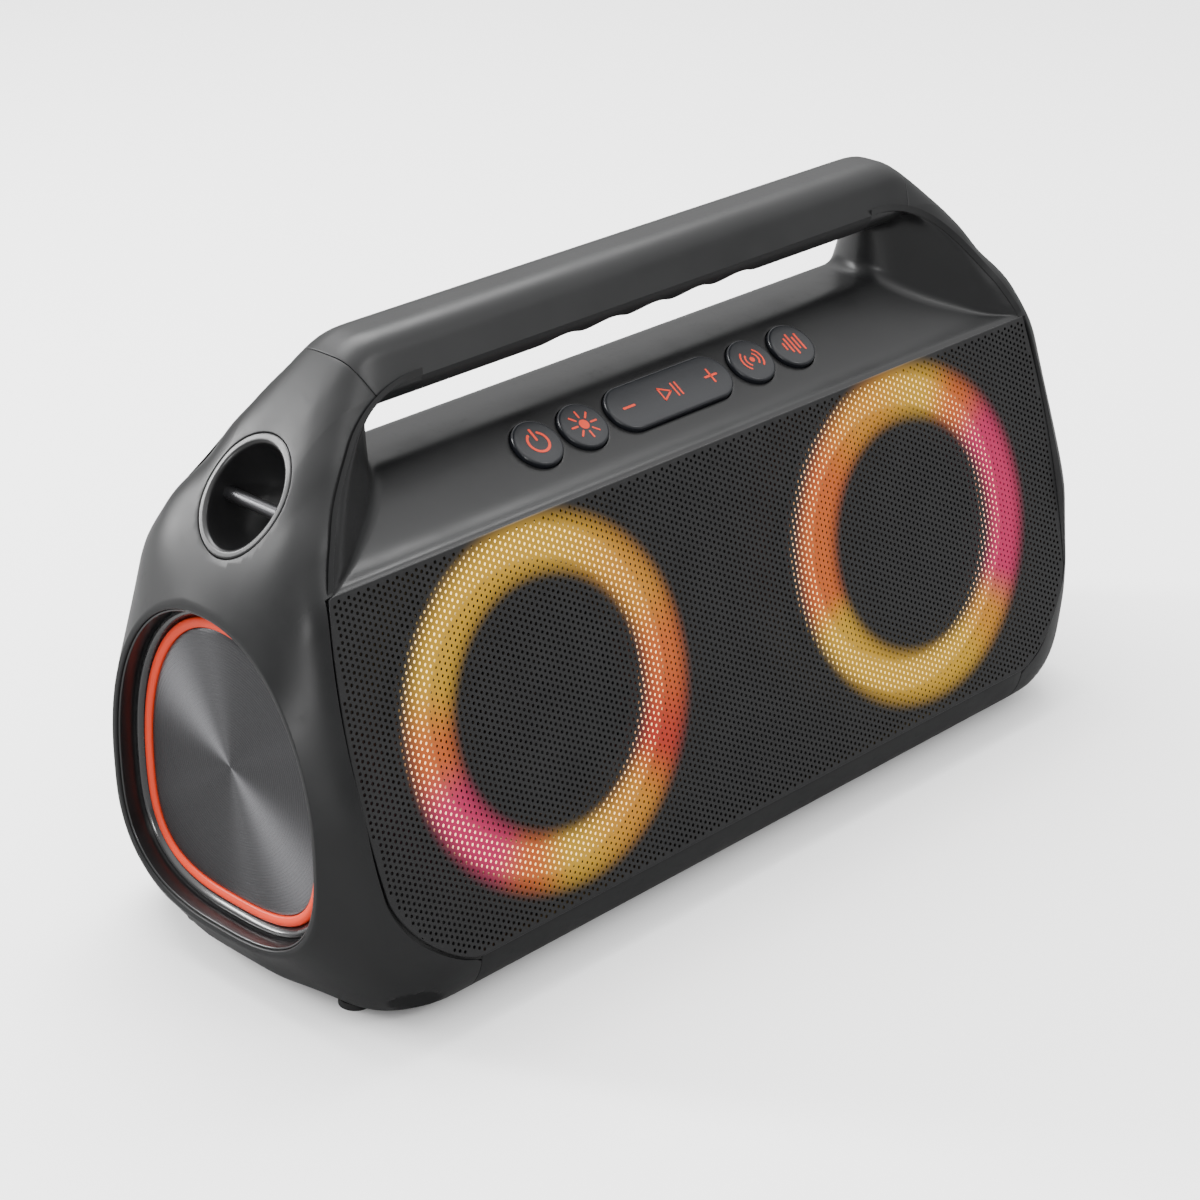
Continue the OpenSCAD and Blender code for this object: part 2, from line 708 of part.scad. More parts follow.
module tact_switches() color("#8d8f94") on_deck() for (x = switch_x) translate([x, 0, 0]) {
    translate([-3, -3, board_top + 0.02]) cube([6, 6, 1.5]);
    translate([0, 0, board_top + 1.5]) cylinder(r = 1.7, h = 0.6);
}

board_t = 1.6;
module button_board() color("#123a24") on_deck() key_strip(board_top - board_t, board_t);

// ---------------------------------------------------------------- electronics

battery_y = 22;
battery_len = 66;
cell_r = 9.2;
bracket_x = 20;
bracket_y = 26;

module at_bracket_screws() for (sx = [-1, 1], sy = [-1, 1])
    translate([sx * bracket_x, battery_y + sy * bracket_y, 0]) children();

module battery_pack() color("#2d5fa8") for (y = [-1, 1], z = [0, 1])
    translate([-battery_len / 2, battery_y + y * (cell_r + 0.1),
               floor_z + cell_r + 0.1 + z * (2 * cell_r + 0.2)])
        rotate([0, 90, 0]) cylinder(r = cell_r, h = battery_len);

module battery_bracket() color("#9a9c9e") difference() {
    translate([-bracket_x - 5, battery_y - bracket_y - 5, floor_z])
        cube([2 * bracket_x + 10, 2 * bracket_y + 10, 4 * cell_r + 3.5]);
    translate([-bracket_x - 6, battery_y - 2 * cell_r - 0.6, floor_z - 1])
        cube([2 * bracket_x + 12, 4 * cell_r + 1.2, 4 * cell_r + 2.3]);
    for (s = [-1, 1]) translate([-bracket_x - 6, battery_y + s * 38 - 18, floor_z + 2])
        cube([2 * bracket_x + 12, 36, 60]);
    at_bracket_screws() translate([0, 0, floor_z - 1]) cylinder(r = screw_r + fit_gap, h = 10);
}

board_depth = 22;
module main_board() color("#14502e") on_rear()
    translate([-65, 0, -board_depth]) cube([130, 52, board_t]);

module heat_sink() color("#a5a8ab") on_rear() translate([-50, 16, -board_depth - 12.1]) {
    translate([0, 0, 9]) cube([34, 26, 3]);
    for (i = [0 : 6]) translate([i * 5.3, 0, 0]) cube([2, 26, 9.01]);
}

// Each jack is [x, up, width, height]; a round socket has height 0
jacks = [[-18, 2, 9, 3.4], [0, 2, 7, 0], [18, 2, 13, 6]];
module jack_body(j, g, h)
    if (j[3] == 0) cylinder(r = j[2] / 2 + g, h = h);
    else translate([-j[2] / 2 - g, -j[3] / 2 - g, 0]) cube([j[2] + 2 * g, j[3] + 2 * g, h]);

module port_board() color("#14502e") on_rear()
    translate([-27, port_y - 9, -port_depth - 6.2]) cube([54, 20, board_t]);

module port_jacks() color("#b9bbbe") on_rear() for (j = jacks)
    translate([j[0], port_y + j[1], -port_depth - 4.5]) difference() {
        jack_body(j, 0, 5.2);
        translate([0, 0, 1]) jack_body(j, -0.7, 8);
    }

module port_cover() color("#202022") on_rear() difference() {
    union() {
        translate([-port_w / 2 + 0.4, port_y - port_h / 2 + 1.4, -cover_t])
            cube([port_w - 0.8, port_h - 1.8, cover_t]);
        at_port_pin() cylinder(r = knuckle_r, h = port_w - 16, center = true);
    }
    at_port_pin() cylinder(r = port_pin_r + 0.05, h = port_w, center = true);
    for (s = [-1, 1]) at_port_pin() translate([0, 0, s * (port_w / 2 - 3)])
        cylinder(r = knuckle_r + 0.3, h = 10, center = true);
}

module port_cover_pin() color("#b0b2b4") on_rear()
    at_port_pin() cylinder(r = port_pin_r, h = port_w + 2, center = true);

module wire(from, to) {
    d = to - from;
    translate(from) rotate([0, acos(d[2] / norm(d)), atan2(d[1], d[0])])
        cylinder(r = wire_r, h = norm(d));
}

wire_r = 1.2;
splice_r = 2.4;
wire_start = [60, 8, 60];
wire_bend = [60, 34, 75];
wire_end = [30, 42, 82];

// One lead from each driver towards the main board, with a crimped splice where it turns
module wiring_harness() color("#b02020") for (s = [-1, 1]) scale_side(s) {
    wire(wire_start, wire_bend);
    wire(wire_bend, wire_end);
    translate(wire_bend) sphere(r = splice_r);
}

// ---------------------------------------------------------------- assembly

end_cap_left();
end_cap_right();
handle_deck();
handle_grip();
base_pan();
rear_panel();
front_baffle();
front_grille();
grille_gasket();
rubber_feet();
case_screws();
driver_screws();
woofer_basket_left();
woofer_basket_right();
woofer_magnet_left();
woofer_magnet_right();
woofer_cone_left();
woofer_cone_right();
woofer_surround_left();
woofer_surround_right();
dust_cap_left();
dust_cap_right();
voice_coil_left();
voice_coil_right();
spider_left();
spider_right();
led_ring_left();
led_ring_right();
led_board_left();
led_board_right();
radiator_frame_left();
radiator_frame_right();
radiator_surround_left();
radiator_surround_right();
radiator_plate_left();
radiator_plate_right();
radiator_trim_left();
radiator_trim_right();
strap_cup_left();
strap_cup_right();
strap_bar_left();
strap_bar_right();
power_button();
light_button();
wireless_button();
bass_button();
volume_play_key();
key_carrier();
keypad_membrane();
button_board();
tact_switches();
main_board();
heat_sink();
battery_pack();
battery_bracket();
port_board();
port_jacks();
port_cover();
port_cover_pin();
wiring_harness();
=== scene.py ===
"""Looks of a party speaker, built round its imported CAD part. Shapes are worked out in millimetres."""

import json
import math

import bmesh
import bpy
import numpy as np
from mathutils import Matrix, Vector


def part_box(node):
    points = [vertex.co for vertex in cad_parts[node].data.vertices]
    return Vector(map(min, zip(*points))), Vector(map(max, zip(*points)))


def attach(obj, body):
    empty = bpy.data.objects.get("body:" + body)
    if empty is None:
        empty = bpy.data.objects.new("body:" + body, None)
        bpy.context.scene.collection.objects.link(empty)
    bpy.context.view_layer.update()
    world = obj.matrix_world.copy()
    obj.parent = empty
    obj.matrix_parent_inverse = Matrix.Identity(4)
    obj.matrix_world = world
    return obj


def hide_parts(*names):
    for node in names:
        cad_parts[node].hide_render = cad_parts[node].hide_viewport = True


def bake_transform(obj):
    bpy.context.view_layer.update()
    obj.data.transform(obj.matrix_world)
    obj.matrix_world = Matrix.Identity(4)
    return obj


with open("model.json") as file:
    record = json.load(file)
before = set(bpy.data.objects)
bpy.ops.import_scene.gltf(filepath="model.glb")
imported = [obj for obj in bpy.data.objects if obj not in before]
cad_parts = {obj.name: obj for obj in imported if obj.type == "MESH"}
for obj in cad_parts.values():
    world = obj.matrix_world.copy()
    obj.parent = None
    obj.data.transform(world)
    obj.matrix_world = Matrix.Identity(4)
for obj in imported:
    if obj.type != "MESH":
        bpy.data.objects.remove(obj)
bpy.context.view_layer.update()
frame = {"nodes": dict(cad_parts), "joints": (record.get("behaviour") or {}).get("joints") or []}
MM = 0.001


# ---- places taken from the frame


def box(node):
    low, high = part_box(node)
    return np.array(low) / MM, np.array(high) / MM


def middle(node):
    low, high = box(node)
    return (low + high) / 2


def joint_axis(name):
    found = [j for j in frame["joints"] if j["name"] == name][0]
    axis = np.array(found["axis"], float)
    return axis / np.linalg.norm(axis)


RIM_X = box("end_cap_right")[1][0]
OUT = joint_axis("driver_stroke_right")
if OUT[1] > 0:
    OUT = -OUT
LEAN = math.atan2(OUT[2], -OUT[1])
UP = np.array([0, math.sin(LEAN), math.cos(LEAN)])
ACROSS = np.array([1.0, 0, 0])
BOARD_DEPTH = 11.4
GRILLE = middle("led_board_right") * [0, 1, 1] + OUT * BOARD_DEPTH
DRIVER_X = middle("led_board_right")[0]
PRESS = joint_axis("play_press")
if PRESS[2] > 0:
    PRESS = -PRESS
DECK_OUT = -PRESS
DECK_UP = np.array([0, DECK_OUT[2], -DECK_OUT[1]])
DECK = np.array([0, -20.7, 164.0])
POCKET = np.array([175.6, 0, 174.5])
POCKET_OUT = np.array([math.sqrt(0.5), 0, math.sqrt(0.5)])
POCKET_DOWN = np.array([math.sqrt(0.5), 0, -math.sqrt(0.5)])

# Grille outline and its clear joints
GRILLE_HALF = 182.4
GRILLE_TOP = 63.2
GRILLE_BOTTOM = -71.0
SIDE_BULGE = 0.00157
BULGE_Y = 6.0
CORNER_Y = -37.0
CORNER_H = 34.0
CORNER_N = 1.5
FRONT_GAP = 1.3
REAR_GAP = 0.4
PAN_SEAM_X = 146.0

# Handle, arms and deck
CREASE_Z = 202.0
SEAM_FOOT_X = 134.6
SEAM_SLOPE = 0.5
ARM_FOOT = (176.2, 149.3)
ARM_HEAD = (135.0, 201.5)
ARM_BOW = 5.7
CORNER_X = 116.0
CORNER_Z = 189.0
WAIST_X = 127.5
DECK_EDGE = (42.3, 152.3)
GRIP_HALF = 115.0

# End opening
RIM_HALF_W = 50.2
RIM_MID_Z = 68.0
RIM_UP = 70.0
RIM_DOWN = 46.0
RIM_N_UP = 2.1
RIM_N_DOWN = 2.8
RIM_LAND = 2.0
POCKET_SEAM_R = 21.4
POCKET_SQUEEZE = 0.84
POCKET_LIP_R = 19.4

# Scoop in the front lower corner of each cap
SCOOP_AT = np.array([167.0, -66.0, 11.5])
SCOOP_SIZE = np.array([10.0, 6.5, 5.0])
SCOOP_DEPTH = 4.5


# ---- outer skin

AXIS_Z = 85.0
TURNS = 1440
ANGLES = np.linspace(0, 2 * math.pi, TURNS, endpoint=False)

# Sections along X: [x, discs as (y, z, radius)]; a section is the hull of its discs, mirrored in Y
SECTIONS = [
    (134.0, [(2.95, 205.5, 11.5), (38.8, 149.9, 4), (53.4, 23.2, 22)]),
    (147.0, [(8.0, 193.5, 12), (38.8, 149.9, 4), (53.4, 23.2, 22)]),
    (160.0, [(14.6, 181, 12), (38.8, 149.9, 4), (53.4, 23.2, 22)]),
    (176.0, [(23.8, 158.5, 14), (38.0, 149, 5), (44, 27.2, 26), (48.5, 50, 22)]),
    (184.0, [(24, 138.5, 24), (26, 75, 40), (33, 43, 35), (17, 27.5, 24)]),
    (190.5, [(14, 125, 27), (12, 76, 47), (19, 57, 41), (10, 40, 29)]),
]


def disc_support(discs):
    reach = [y * abs(np.cos(ANGLES)) + (z - AXIS_Z) * np.sin(ANGLES) + r for y, z, r in discs]
    return np.max(reach, axis=0)


def rim_support(inset):
    up = np.sin(ANGLES) >= 0
    power = np.where(up, RIM_N_UP, RIM_N_DOWN)
    height = np.where(up, RIM_UP, RIM_DOWN)
    dual = power / (power - 1)
    wide = (RIM_HALF_W * abs(np.cos(ANGLES))) ** dual
    tall = (height * abs(np.sin(ANGLES))) ** dual
    return (wide + tall) ** (1 / dual) + (RIM_MID_Z - AXIS_Z) * np.sin(ANGLES) - inset


def polar(support):
    """Distance from the axis to a convex outline in every direction, from its support function."""
    best = np.full(TURNS, 1e9)
    reach = int(TURNS * 0.22)
    for k in range(-reach, reach + 1):
        best = np.minimum(best, np.roll(support, -k) / math.cos(2 * math.pi * k / TURNS))
    return best


def rim_radius(inset, angle):
    """Distance from the axis to the edge of the end opening, pulled in by an inset."""
    return at_angle(polar(rim_support(inset))[None], angle, 0)


STATION_X = np.array([x for x, discs in SECTIONS] + [RIM_X])
STATION_R = np.array([polar(disc_support(d)) for x, d in SECTIONS] + [polar(rim_support(-RIM_LAND))])
STEP_X = 0.5
EASE_X = 5.0
REACH = 30
DENSE_X = np.arange(STATION_X[0] - 16, RIM_X + STEP_X / 2, STEP_X)


def blended_radii():
    """Distances at close steps along X: the stations joined by straight lines, then eased."""
    rows = np.array([np.interp(DENSE_X, STATION_X, column) for column in STATION_R.T]).T
    past_rim = 2 * rows[-1] - rows[-2 : -2 - REACH : -1]
    padded = np.concatenate([np.repeat(rows[:1], REACH, axis=0), rows, past_rim])
    shift = np.arange(-REACH, REACH + 1)
    weight = np.exp(-((shift * STEP_X / EASE_X) ** 2) / 2)
    weight /= weight.sum()
    return sum(w * padded[REACH + k : REACH + k + len(rows)] for w, k in zip(weight, shift))


SKIN_R = blended_radii()


def at_angle(table, angle, row):
    place = (np.asarray(angle) % (2 * math.pi)) / (2 * math.pi) * TURNS
    low = np.floor(place).astype(int)
    part = place - low
    low = low % TURNS
    return table[row, low] * (1 - part) + table[row, (low + 1) % TURNS] * part


def skin_radius(angle, x):
    place = (np.clip(abs(x), DENSE_X[0], DENSE_X[-1]) - DENSE_X[0]) / STEP_X
    k = np.clip(np.floor(place).astype(int), 0, len(DENSE_X) - 2)
    part = place - k
    return at_angle(SKIN_R, angle, k) * (1 - part) + at_angle(SKIN_R, angle, k + 1) * part


def polar_point(angle, x, radius):
    x = np.broadcast_to(x, np.shape(radius))
    return np.stack([x, radius * np.cos(angle), AXIS_Z + radius * np.sin(angle)], axis=-1)


def skin(angle, x):
    angle, x = np.broadcast_arrays(angle, x)
    return polar_point(angle, x, skin_radius(angle, x))


def height_over_skin(p):
    angle = np.arctan2(p[..., 2] - AXIS_Z, p[..., 1])
    return np.hypot(p[..., 1], p[..., 2] - AXIS_Z) - skin_radius(angle, p[..., 0])


def bisect(low, high, falls_short):
    """Halves a range thirty times in every direction at once; falls_short says to look higher."""
    for _ in range(30):
        mid = (low + high) / 2
        short = falls_short(mid)
        low = np.where(short, mid, low)
        high = np.where(short, high, mid)
    return mid


def drop_on_skin(p, direction, reach=14.0):
    """Moves points along a direction until they lie on the skin."""
    start = np.full(p.shape[:-1], reach)
    move = bisect(-start, start, lambda d: height_over_skin(p + d[..., None] * direction) <= 0)
    return p + move[..., None] * direction


# ---- openings in the skin


def corner_curve(a, corner, b, steps):
    t = np.linspace(0, 1, steps)[:, None]
    return a * (1 - t) ** 2 + 2 * corner * t * (1 - t) + b * t**2


def arm_line_x(z):
    t = np.clip((z - ARM_FOOT[1]) / (ARM_HEAD[1] - ARM_FOOT[1]), 0, 1)
    return ARM_HEAD[0] + (ARM_FOOT[0] - ARM_HEAD[0]) * (1 - t) + ARM_BOW * 4 * t * (1 - t)


def corner_turn():
    """Rounded corner of the hand opening, from under the handle into the arm, as (x, z)."""
    start, corner = np.array([[CORNER_X, CREASE_Z], [ARM_HEAD[0], CREASE_Z]])
    return corner_curve(start, corner, np.array([arm_line_x(CORNER_Z), CORNER_Z]), 41)


CORNER = corner_turn()


def arm_edge_x(z):
    z = np.asarray(z, float)
    rounded = np.interp(z, CORNER[::-1, 1], CORNER[::-1, 0])
    return np.where(z > CORNER_Z, rounded, arm_line_x(z))


def crease_z(x):
    """Height of the handle's lower front edge, dropping into the arm near the ends."""
    return np.interp(abs(x), CORNER[:, 0], CORNER[:, 1])


def grille_half(v, gap=0.0):
    """Half width of the grille outline at a height up its slope, grown by a gap."""
    v = np.asarray(v, float)
    side = GRILLE_HALF - SIDE_BULGE * (v - BULGE_Y) ** 2 + gap
    foot = GRILLE_HALF - SIDE_BULGE * (CORNER_Y - BULGE_Y) ** 2 - CORNER_H
    drop = np.clip((CORNER_Y - v) / (CORNER_H + gap), 0, 1)
    corner = foot + (CORNER_H + gap) * (1 - drop**CORNER_N) ** (1 / CORNER_N)
    return np.where(v >= CORNER_Y, side, corner)


def handle_seam_x(z):
    return SEAM_FOOT_X + (z - CREASE_Z) * SEAM_SLOPE


def cap_edge_x(p):
    """How far out the opening between the caps reaches at the height and face of a point."""
    front_y = -abs(p[..., 1])
    v = (front_y - GRILLE[1]) * UP[1] + (p[..., 2] - GRILLE[2]) * UP[2]
    gap = np.where(p[..., 1] < 0, FRONT_GAP, REAR_GAP)
    edge = np.where(v > GRILLE_BOTTOM - gap, grille_half(v, gap), PAN_SEAM_X)
    edge = np.maximum(edge, PAN_SEAM_X)
    z = p[..., 2]
    seam = handle_seam_x(z)
    arm = np.where(z > CREASE_Z, seam, np.maximum(arm_edge_x(z), seam))
    return np.where(z > DECK_EDGE[1], arm, edge)


def find_edge(angle):
    """X where the cap begins, in each direction round the axis."""
    low, high = np.full(angle.shape, 110.0), np.full(angle.shape, RIM_X - 3)
    return bisect(low, high, lambda x: x < cap_edge_x(skin(angle, x)))


# ---- meshes


def new_object(name, data):
    obj = bpy.data.objects.new(name, data)
    bpy.context.scene.collection.objects.link(obj)
    return obj


def make_object(name, points, faces, smooth_deg=38):
    mesh = bpy.data.meshes.new(name)
    mesh.from_pydata([tuple(map(float, p)) for p in np.asarray(points) * MM], [], faces)
    clean = bmesh.new()
    clean.from_mesh(mesh)
    bmesh.ops.remove_doubles(clean, verts=clean.verts, dist=0.00001)
    bmesh.ops.dissolve_degenerate(clean, edges=clean.edges, dist=0.000002)
    loose = [v for v in clean.verts if not v.link_faces]
    bmesh.ops.delete(clean, geom=loose, context="VERTS")
    bmesh.ops.recalc_face_normals(clean, faces=clean.faces)
    clean.to_mesh(mesh)
    clean.free()
    mesh.polygons.foreach_set("use_smooth", [True] * len(mesh.polygons))
    mesh.set_sharp_from_angle(angle=math.radians(smooth_deg))
    return new_object(name, mesh)


def grid_faces(rows, cols, start=0, wrap_rows=False, wrap_cols=False):
    faces = []
    for i in range(rows if wrap_rows else rows - 1):
        for j in range(cols if wrap_cols else cols - 1):
            a, b = i * cols + j, i * cols + (j + 1) % cols
            c, d = ((i + 1) % rows) * cols + (j + 1) % cols, ((i + 1) % rows) * cols + j
            faces.append((start + a, start + b, start + c, start + d))
    return faces


class Shell:
    """Points and faces collected from several grids."""

    def __init__(self):
        self.points = []
        self.faces = []
        self.count = 0

    def add(self, points, faces):
        points = np.asarray(points, float).reshape(-1, 3)
        self.faces += [tuple(i + self.count for i in f) for f in faces]
        self.points.append(points)
        self.count += len(points)

    def grid(self, points, **wrap):
        points = np.asarray(points, float)
        self.add(points, grid_faces(points.shape[0], points.shape[1], **wrap))

    def build(self, name, smooth_deg=38):
        return make_object(name, np.concatenate(self.points), self.faces, smooth_deg)


def unit(v):
    return v / np.maximum(np.linalg.norm(v, axis=-1, keepdims=True), 1e-9)


def quarter(steps):
    """Sine and one minus cosine at even steps over a quarter turn, for rounded edges."""
    turn = np.linspace(0, math.pi / 2, steps + 1)
    return list(zip(np.sin(turn), 1 - np.cos(turn)))


def turned_in(edge, inner, side, radius=0.4, depth=3.0):
    """Rows that roll an edge over and run inwards; side points to the visible face."""
    along = unit(np.roll(edge, -1, axis=0) - np.roll(edge, 1, axis=0))
    along[0] = unit(edge[1] - edge[0])
    along[-1] = unit(edge[-1] - edge[-2])
    across = unit(edge - inner)
    across = unit(across - along * np.sum(across * along, axis=-1, keepdims=True))
    normal = unit(np.cross(along, across))
    facing = np.sign(np.sum(normal * side, axis=-1, keepdims=True))
    normal = normal * np.where(facing == 0, 1, facing)
    rows = [edge + across * radius * s - normal * radius * c for s, c in quarter(4)]
    rows.append(edge + across * radius - normal * depth)
    return np.array(rows)


def punch(points, quads, level, snap, centre_angle):
    """Cuts a hole in a grid along level zero. Returns new points, faces and the hole's rim in order."""
    points = points.copy()
    value = level(points)
    quads = np.array(quads)
    edges = np.concatenate([quads[:, [0, 1]], quads[:, [1, 2]], quads[:, [2, 3]], quads[:, [3, 0]]])
    on = np.zeros(len(points), bool)
    crossing = value[edges[:, 0]] * value[edges[:, 1]] < 0
    for a, b in edges[crossing]:
        if not (on[a] or on[b]):
            on[a if abs(value[a]) < abs(value[b]) else b] = True
    points[on] = snap(points[on])
    sign = np.where(on, 0, np.sign(value))
    faces = []
    for q in quads:
        s = sign[q]
        if (s >= 0).all() and (s > 0).any():
            faces.append(tuple(q))
        elif (s == 0).all():
            if level(points[q].mean(axis=0)[None])[0] > 0:
                faces.append(tuple(q))
        elif (s > 0).any():
            for k in range(4):
                tri = q[[k, (k + 1) % 4, (k + 2) % 4]]
                if sign[tri[1]] > 0 and sign[tri[0]] >= 0 and sign[tri[2]] >= 0:
                    if sign[q[(k + 3) % 4]] < 0:
                        faces.append(tuple(tri))
    seen = {}
    for f in faces:
        for a, b in zip(f, f[1:] + f[:1]):
            key = (min(a, b), max(a, b))
            seen[key] = seen.get(key, 0) + 1
    rim = {v for key, n in seen.items() if n == 1 and on[key[0]] and on[key[1]] for v in key}
    rim = np.array(sorted(rim, key=lambda v: centre_angle(points[v])))
    return points, faces, rim


def rounded_profile(corners, radius, steps):
    """A closed profile of 2-D corners with each one rounded."""
    corners = [np.array(c, float) for c in corners]
    result = []
    for i, c in enumerate(corners):
        a, b = corners[i - 1] - c, corners[(i + 1) % len(corners)] - c
        cut = min(radius, 0.45 * np.linalg.norm(a), 0.45 * np.linalg.norm(b))
        a, b = unit(a) * cut, unit(b) * cut
        result += list(corner_curve(c + a, c, c + b, steps + 1))
    return np.array(result)


def run_length(line):
    return np.concatenate([[0], np.cumsum(np.linalg.norm(np.diff(line, axis=0), axis=1))])


def resample(line, count):
    """Evenly spaced points along a polyline."""
    line = np.asarray(line, float)
    run = run_length(line)
    where = np.linspace(0, run[-1], count)
    return np.stack([np.interp(where, run, line[:, k]) for k in range(line.shape[1])], axis=-1)


def softened(line, passes):
    """Corner cutting that leaves the ends in place."""
    line = np.asarray(line, float)
    for _ in range(passes):
        low = line[:-1] * 0.75 + line[1:] * 0.25
        high = line[:-1] * 0.25 + line[1:] * 0.75
        body = np.stack([low, high], axis=1).reshape(-1, line.shape[1])
        line = np.concatenate([line[:1], body, line[-1:]])
    return line


def turned(name, profile, centre, axis, side, count):
    """Body of revolution: profile is (radius, height along axis)."""
    profile = np.asarray(profile, float)
    other = np.cross(axis, side)
    shell = Shell()
    angle = np.linspace(0, 2 * math.pi, count, endpoint=False)
    ring = np.cos(angle)[:, None] * side + np.sin(angle)[:, None] * other
    points = centre + ring[:, None, :] * profile[None, :, :1] + axis * profile[None, :, 1:]
    shell.grid(points, wrap_rows=True)
    return shell.build(name)


def place(obj, body, slot, node):
    """Paints a new piece, ties it to its body and hides the CAD node that it stands for."""
    obj.data.materials.append(PAINT[slot])
    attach(obj, body)
    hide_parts(node)


def stretch(obj, slot, node):
    """Paints a piece and hides the CAD node that it stands for."""
    obj.data.materials.append(PAINT[slot])
    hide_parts(node)


def finish_piece(shell, name, smooth_deg, slot, node, body="cabinet", side=1):
    """Builds a shell, mirrored for the left side, and ties it to its body."""
    if side < 0:
        mirror_points(shell)
    place(shell.build(name, smooth_deg), body, slot, node)


def mirror_points(shell):
    shell.points = [p * [-1, 1, 1] for p in shell.points]


# ---- materials


class Graph:
    """A material's node tree with short calls for the nodes used here."""

    def __init__(self, name):
        self.material = bpy.data.materials.new(name)
        self.material.use_nodes = True
        self.tree = self.material.node_tree
        self.shader = self.tree.nodes["Principled BSDF"]
        self.place = self.node("ShaderNodeTexCoord").outputs["Object"]

    def node(self, kind, **values):
        made = self.tree.nodes.new(kind)
        for key, value in values.items():
            setattr(made, key, value)
        return made

    def link(self, source, target):
        self.tree.links.new(source, target)

    def set(self, target, value):
        if isinstance(value, bpy.types.NodeSocket):
            self.link(value, target)
        else:
            target.default_value = value

    def math(self, operation, a, b=0.0, c=0.0):
        made = self.node("ShaderNodeMath", operation=operation)
        for socket, value in zip(made.inputs, (a, b, c)):
            self.set(socket, value)
        return made.outputs[0]

    def dot(self, vector):
        made = self.node("ShaderNodeVectorMath", operation="DOT_PRODUCT")
        self.link(self.place, made.inputs[0])
        made.inputs[1].default_value = tuple(map(float, vector))
        return made.outputs["Value"]

    def texture(self, kind, scale):
        made = self.node("ShaderNodeTex" + kind)
        self.link(self.place, made.inputs["Vector"])
        made.inputs["Scale"].default_value = scale
        return made

    def noise(self, scale, detail=3.0, rough=0.5):
        made = self.texture("Noise", scale)
        made.inputs["Detail"].default_value = detail
        made.inputs["Roughness"].default_value = rough
        return made.outputs[0]

    def length(self, a, b):
        return self.math("SQRT", self.math("ADD", self.math("MULTIPLY", a, a), self.math("MULTIPLY", b, b)))

    def remap(self, value, low, high, to_low, to_high, smooth=False):
        made = self.node("ShaderNodeMapRange")
        made.interpolation_type = "SMOOTHSTEP" if smooth else "LINEAR"
        self.set(made.inputs["Value"], value)
        for key, number in zip(("From Min", "From Max", "To Min", "To Max"), (low, high, to_low, to_high)):
            made.inputs[key].default_value = number
        return made.outputs[0]

    def mix(self, factor, a, b):
        made = self.node("ShaderNodeMix", data_type="RGBA")
        self.set(made.inputs[0], factor)
        self.set(made.inputs[6], a)
        self.set(made.inputs[7], b)
        return made.outputs[2]

    def bump(self, height, strength, distance=0.0002):
        made = self.node("ShaderNodeBump")
        made.inputs["Strength"].default_value = strength
        made.inputs["Distance"].default_value = distance
        self.link(height, made.inputs["Height"])
        return made.outputs[0]

    def base(self, colour=None, rough=None, metal=None, normal=None, **more):
        chosen = {"Base Color": colour, "Roughness": rough, "Metallic": metal, "Normal": normal}
        chosen.update({key.replace("_", " "): value for key, value in more.items()})
        for key, value in chosen.items():
            if value is not None:
                self.set(self.shader.inputs[key], value)
        return self.material


def tinted(colour, factor=1.0):
    """A colour made darker or lighter, with the alpha that a socket wants."""
    return (*(c * factor for c in colour), 1.0)


def moulded(name, colour, rough, grain=2600, depth=0.12, metal=0.0, spread=0.06, coat=0.0, shine=0.5):
    """Moulded plastic or rubber: fine spark grain, slight sheen changes, faint handling marks."""
    g = Graph(name)
    fine = g.noise(grain, 2)
    broad = g.noise(35, 4)
    marks = g.noise(260, 6, 0.7)
    tone = g.mix(g.remap(broad, 0.3, 0.7, 0, 1), tinted(colour, 0.86), tinted(colour))
    worn = g.remap(marks, 0.56, 0.72, 0, spread)
    roughness = g.math("ADD", g.remap(broad, 0.3, 0.7, rough - spread, rough + spread), worn)
    normal = g.bump(fine, depth, 0.00012)
    return g.base(tone, roughness, metal, normal, Coat_Weight=coat, Specular_IOR_Level=shine)


# Painted highlight fans in the metal plates' colour: direction of the fans and how much they lighten
HIGHLIGHT_FAN_TURN = math.radians(41)
HIGHLIGHT_FAN_GAIN = 4.5
RING_STEP = 0.0011


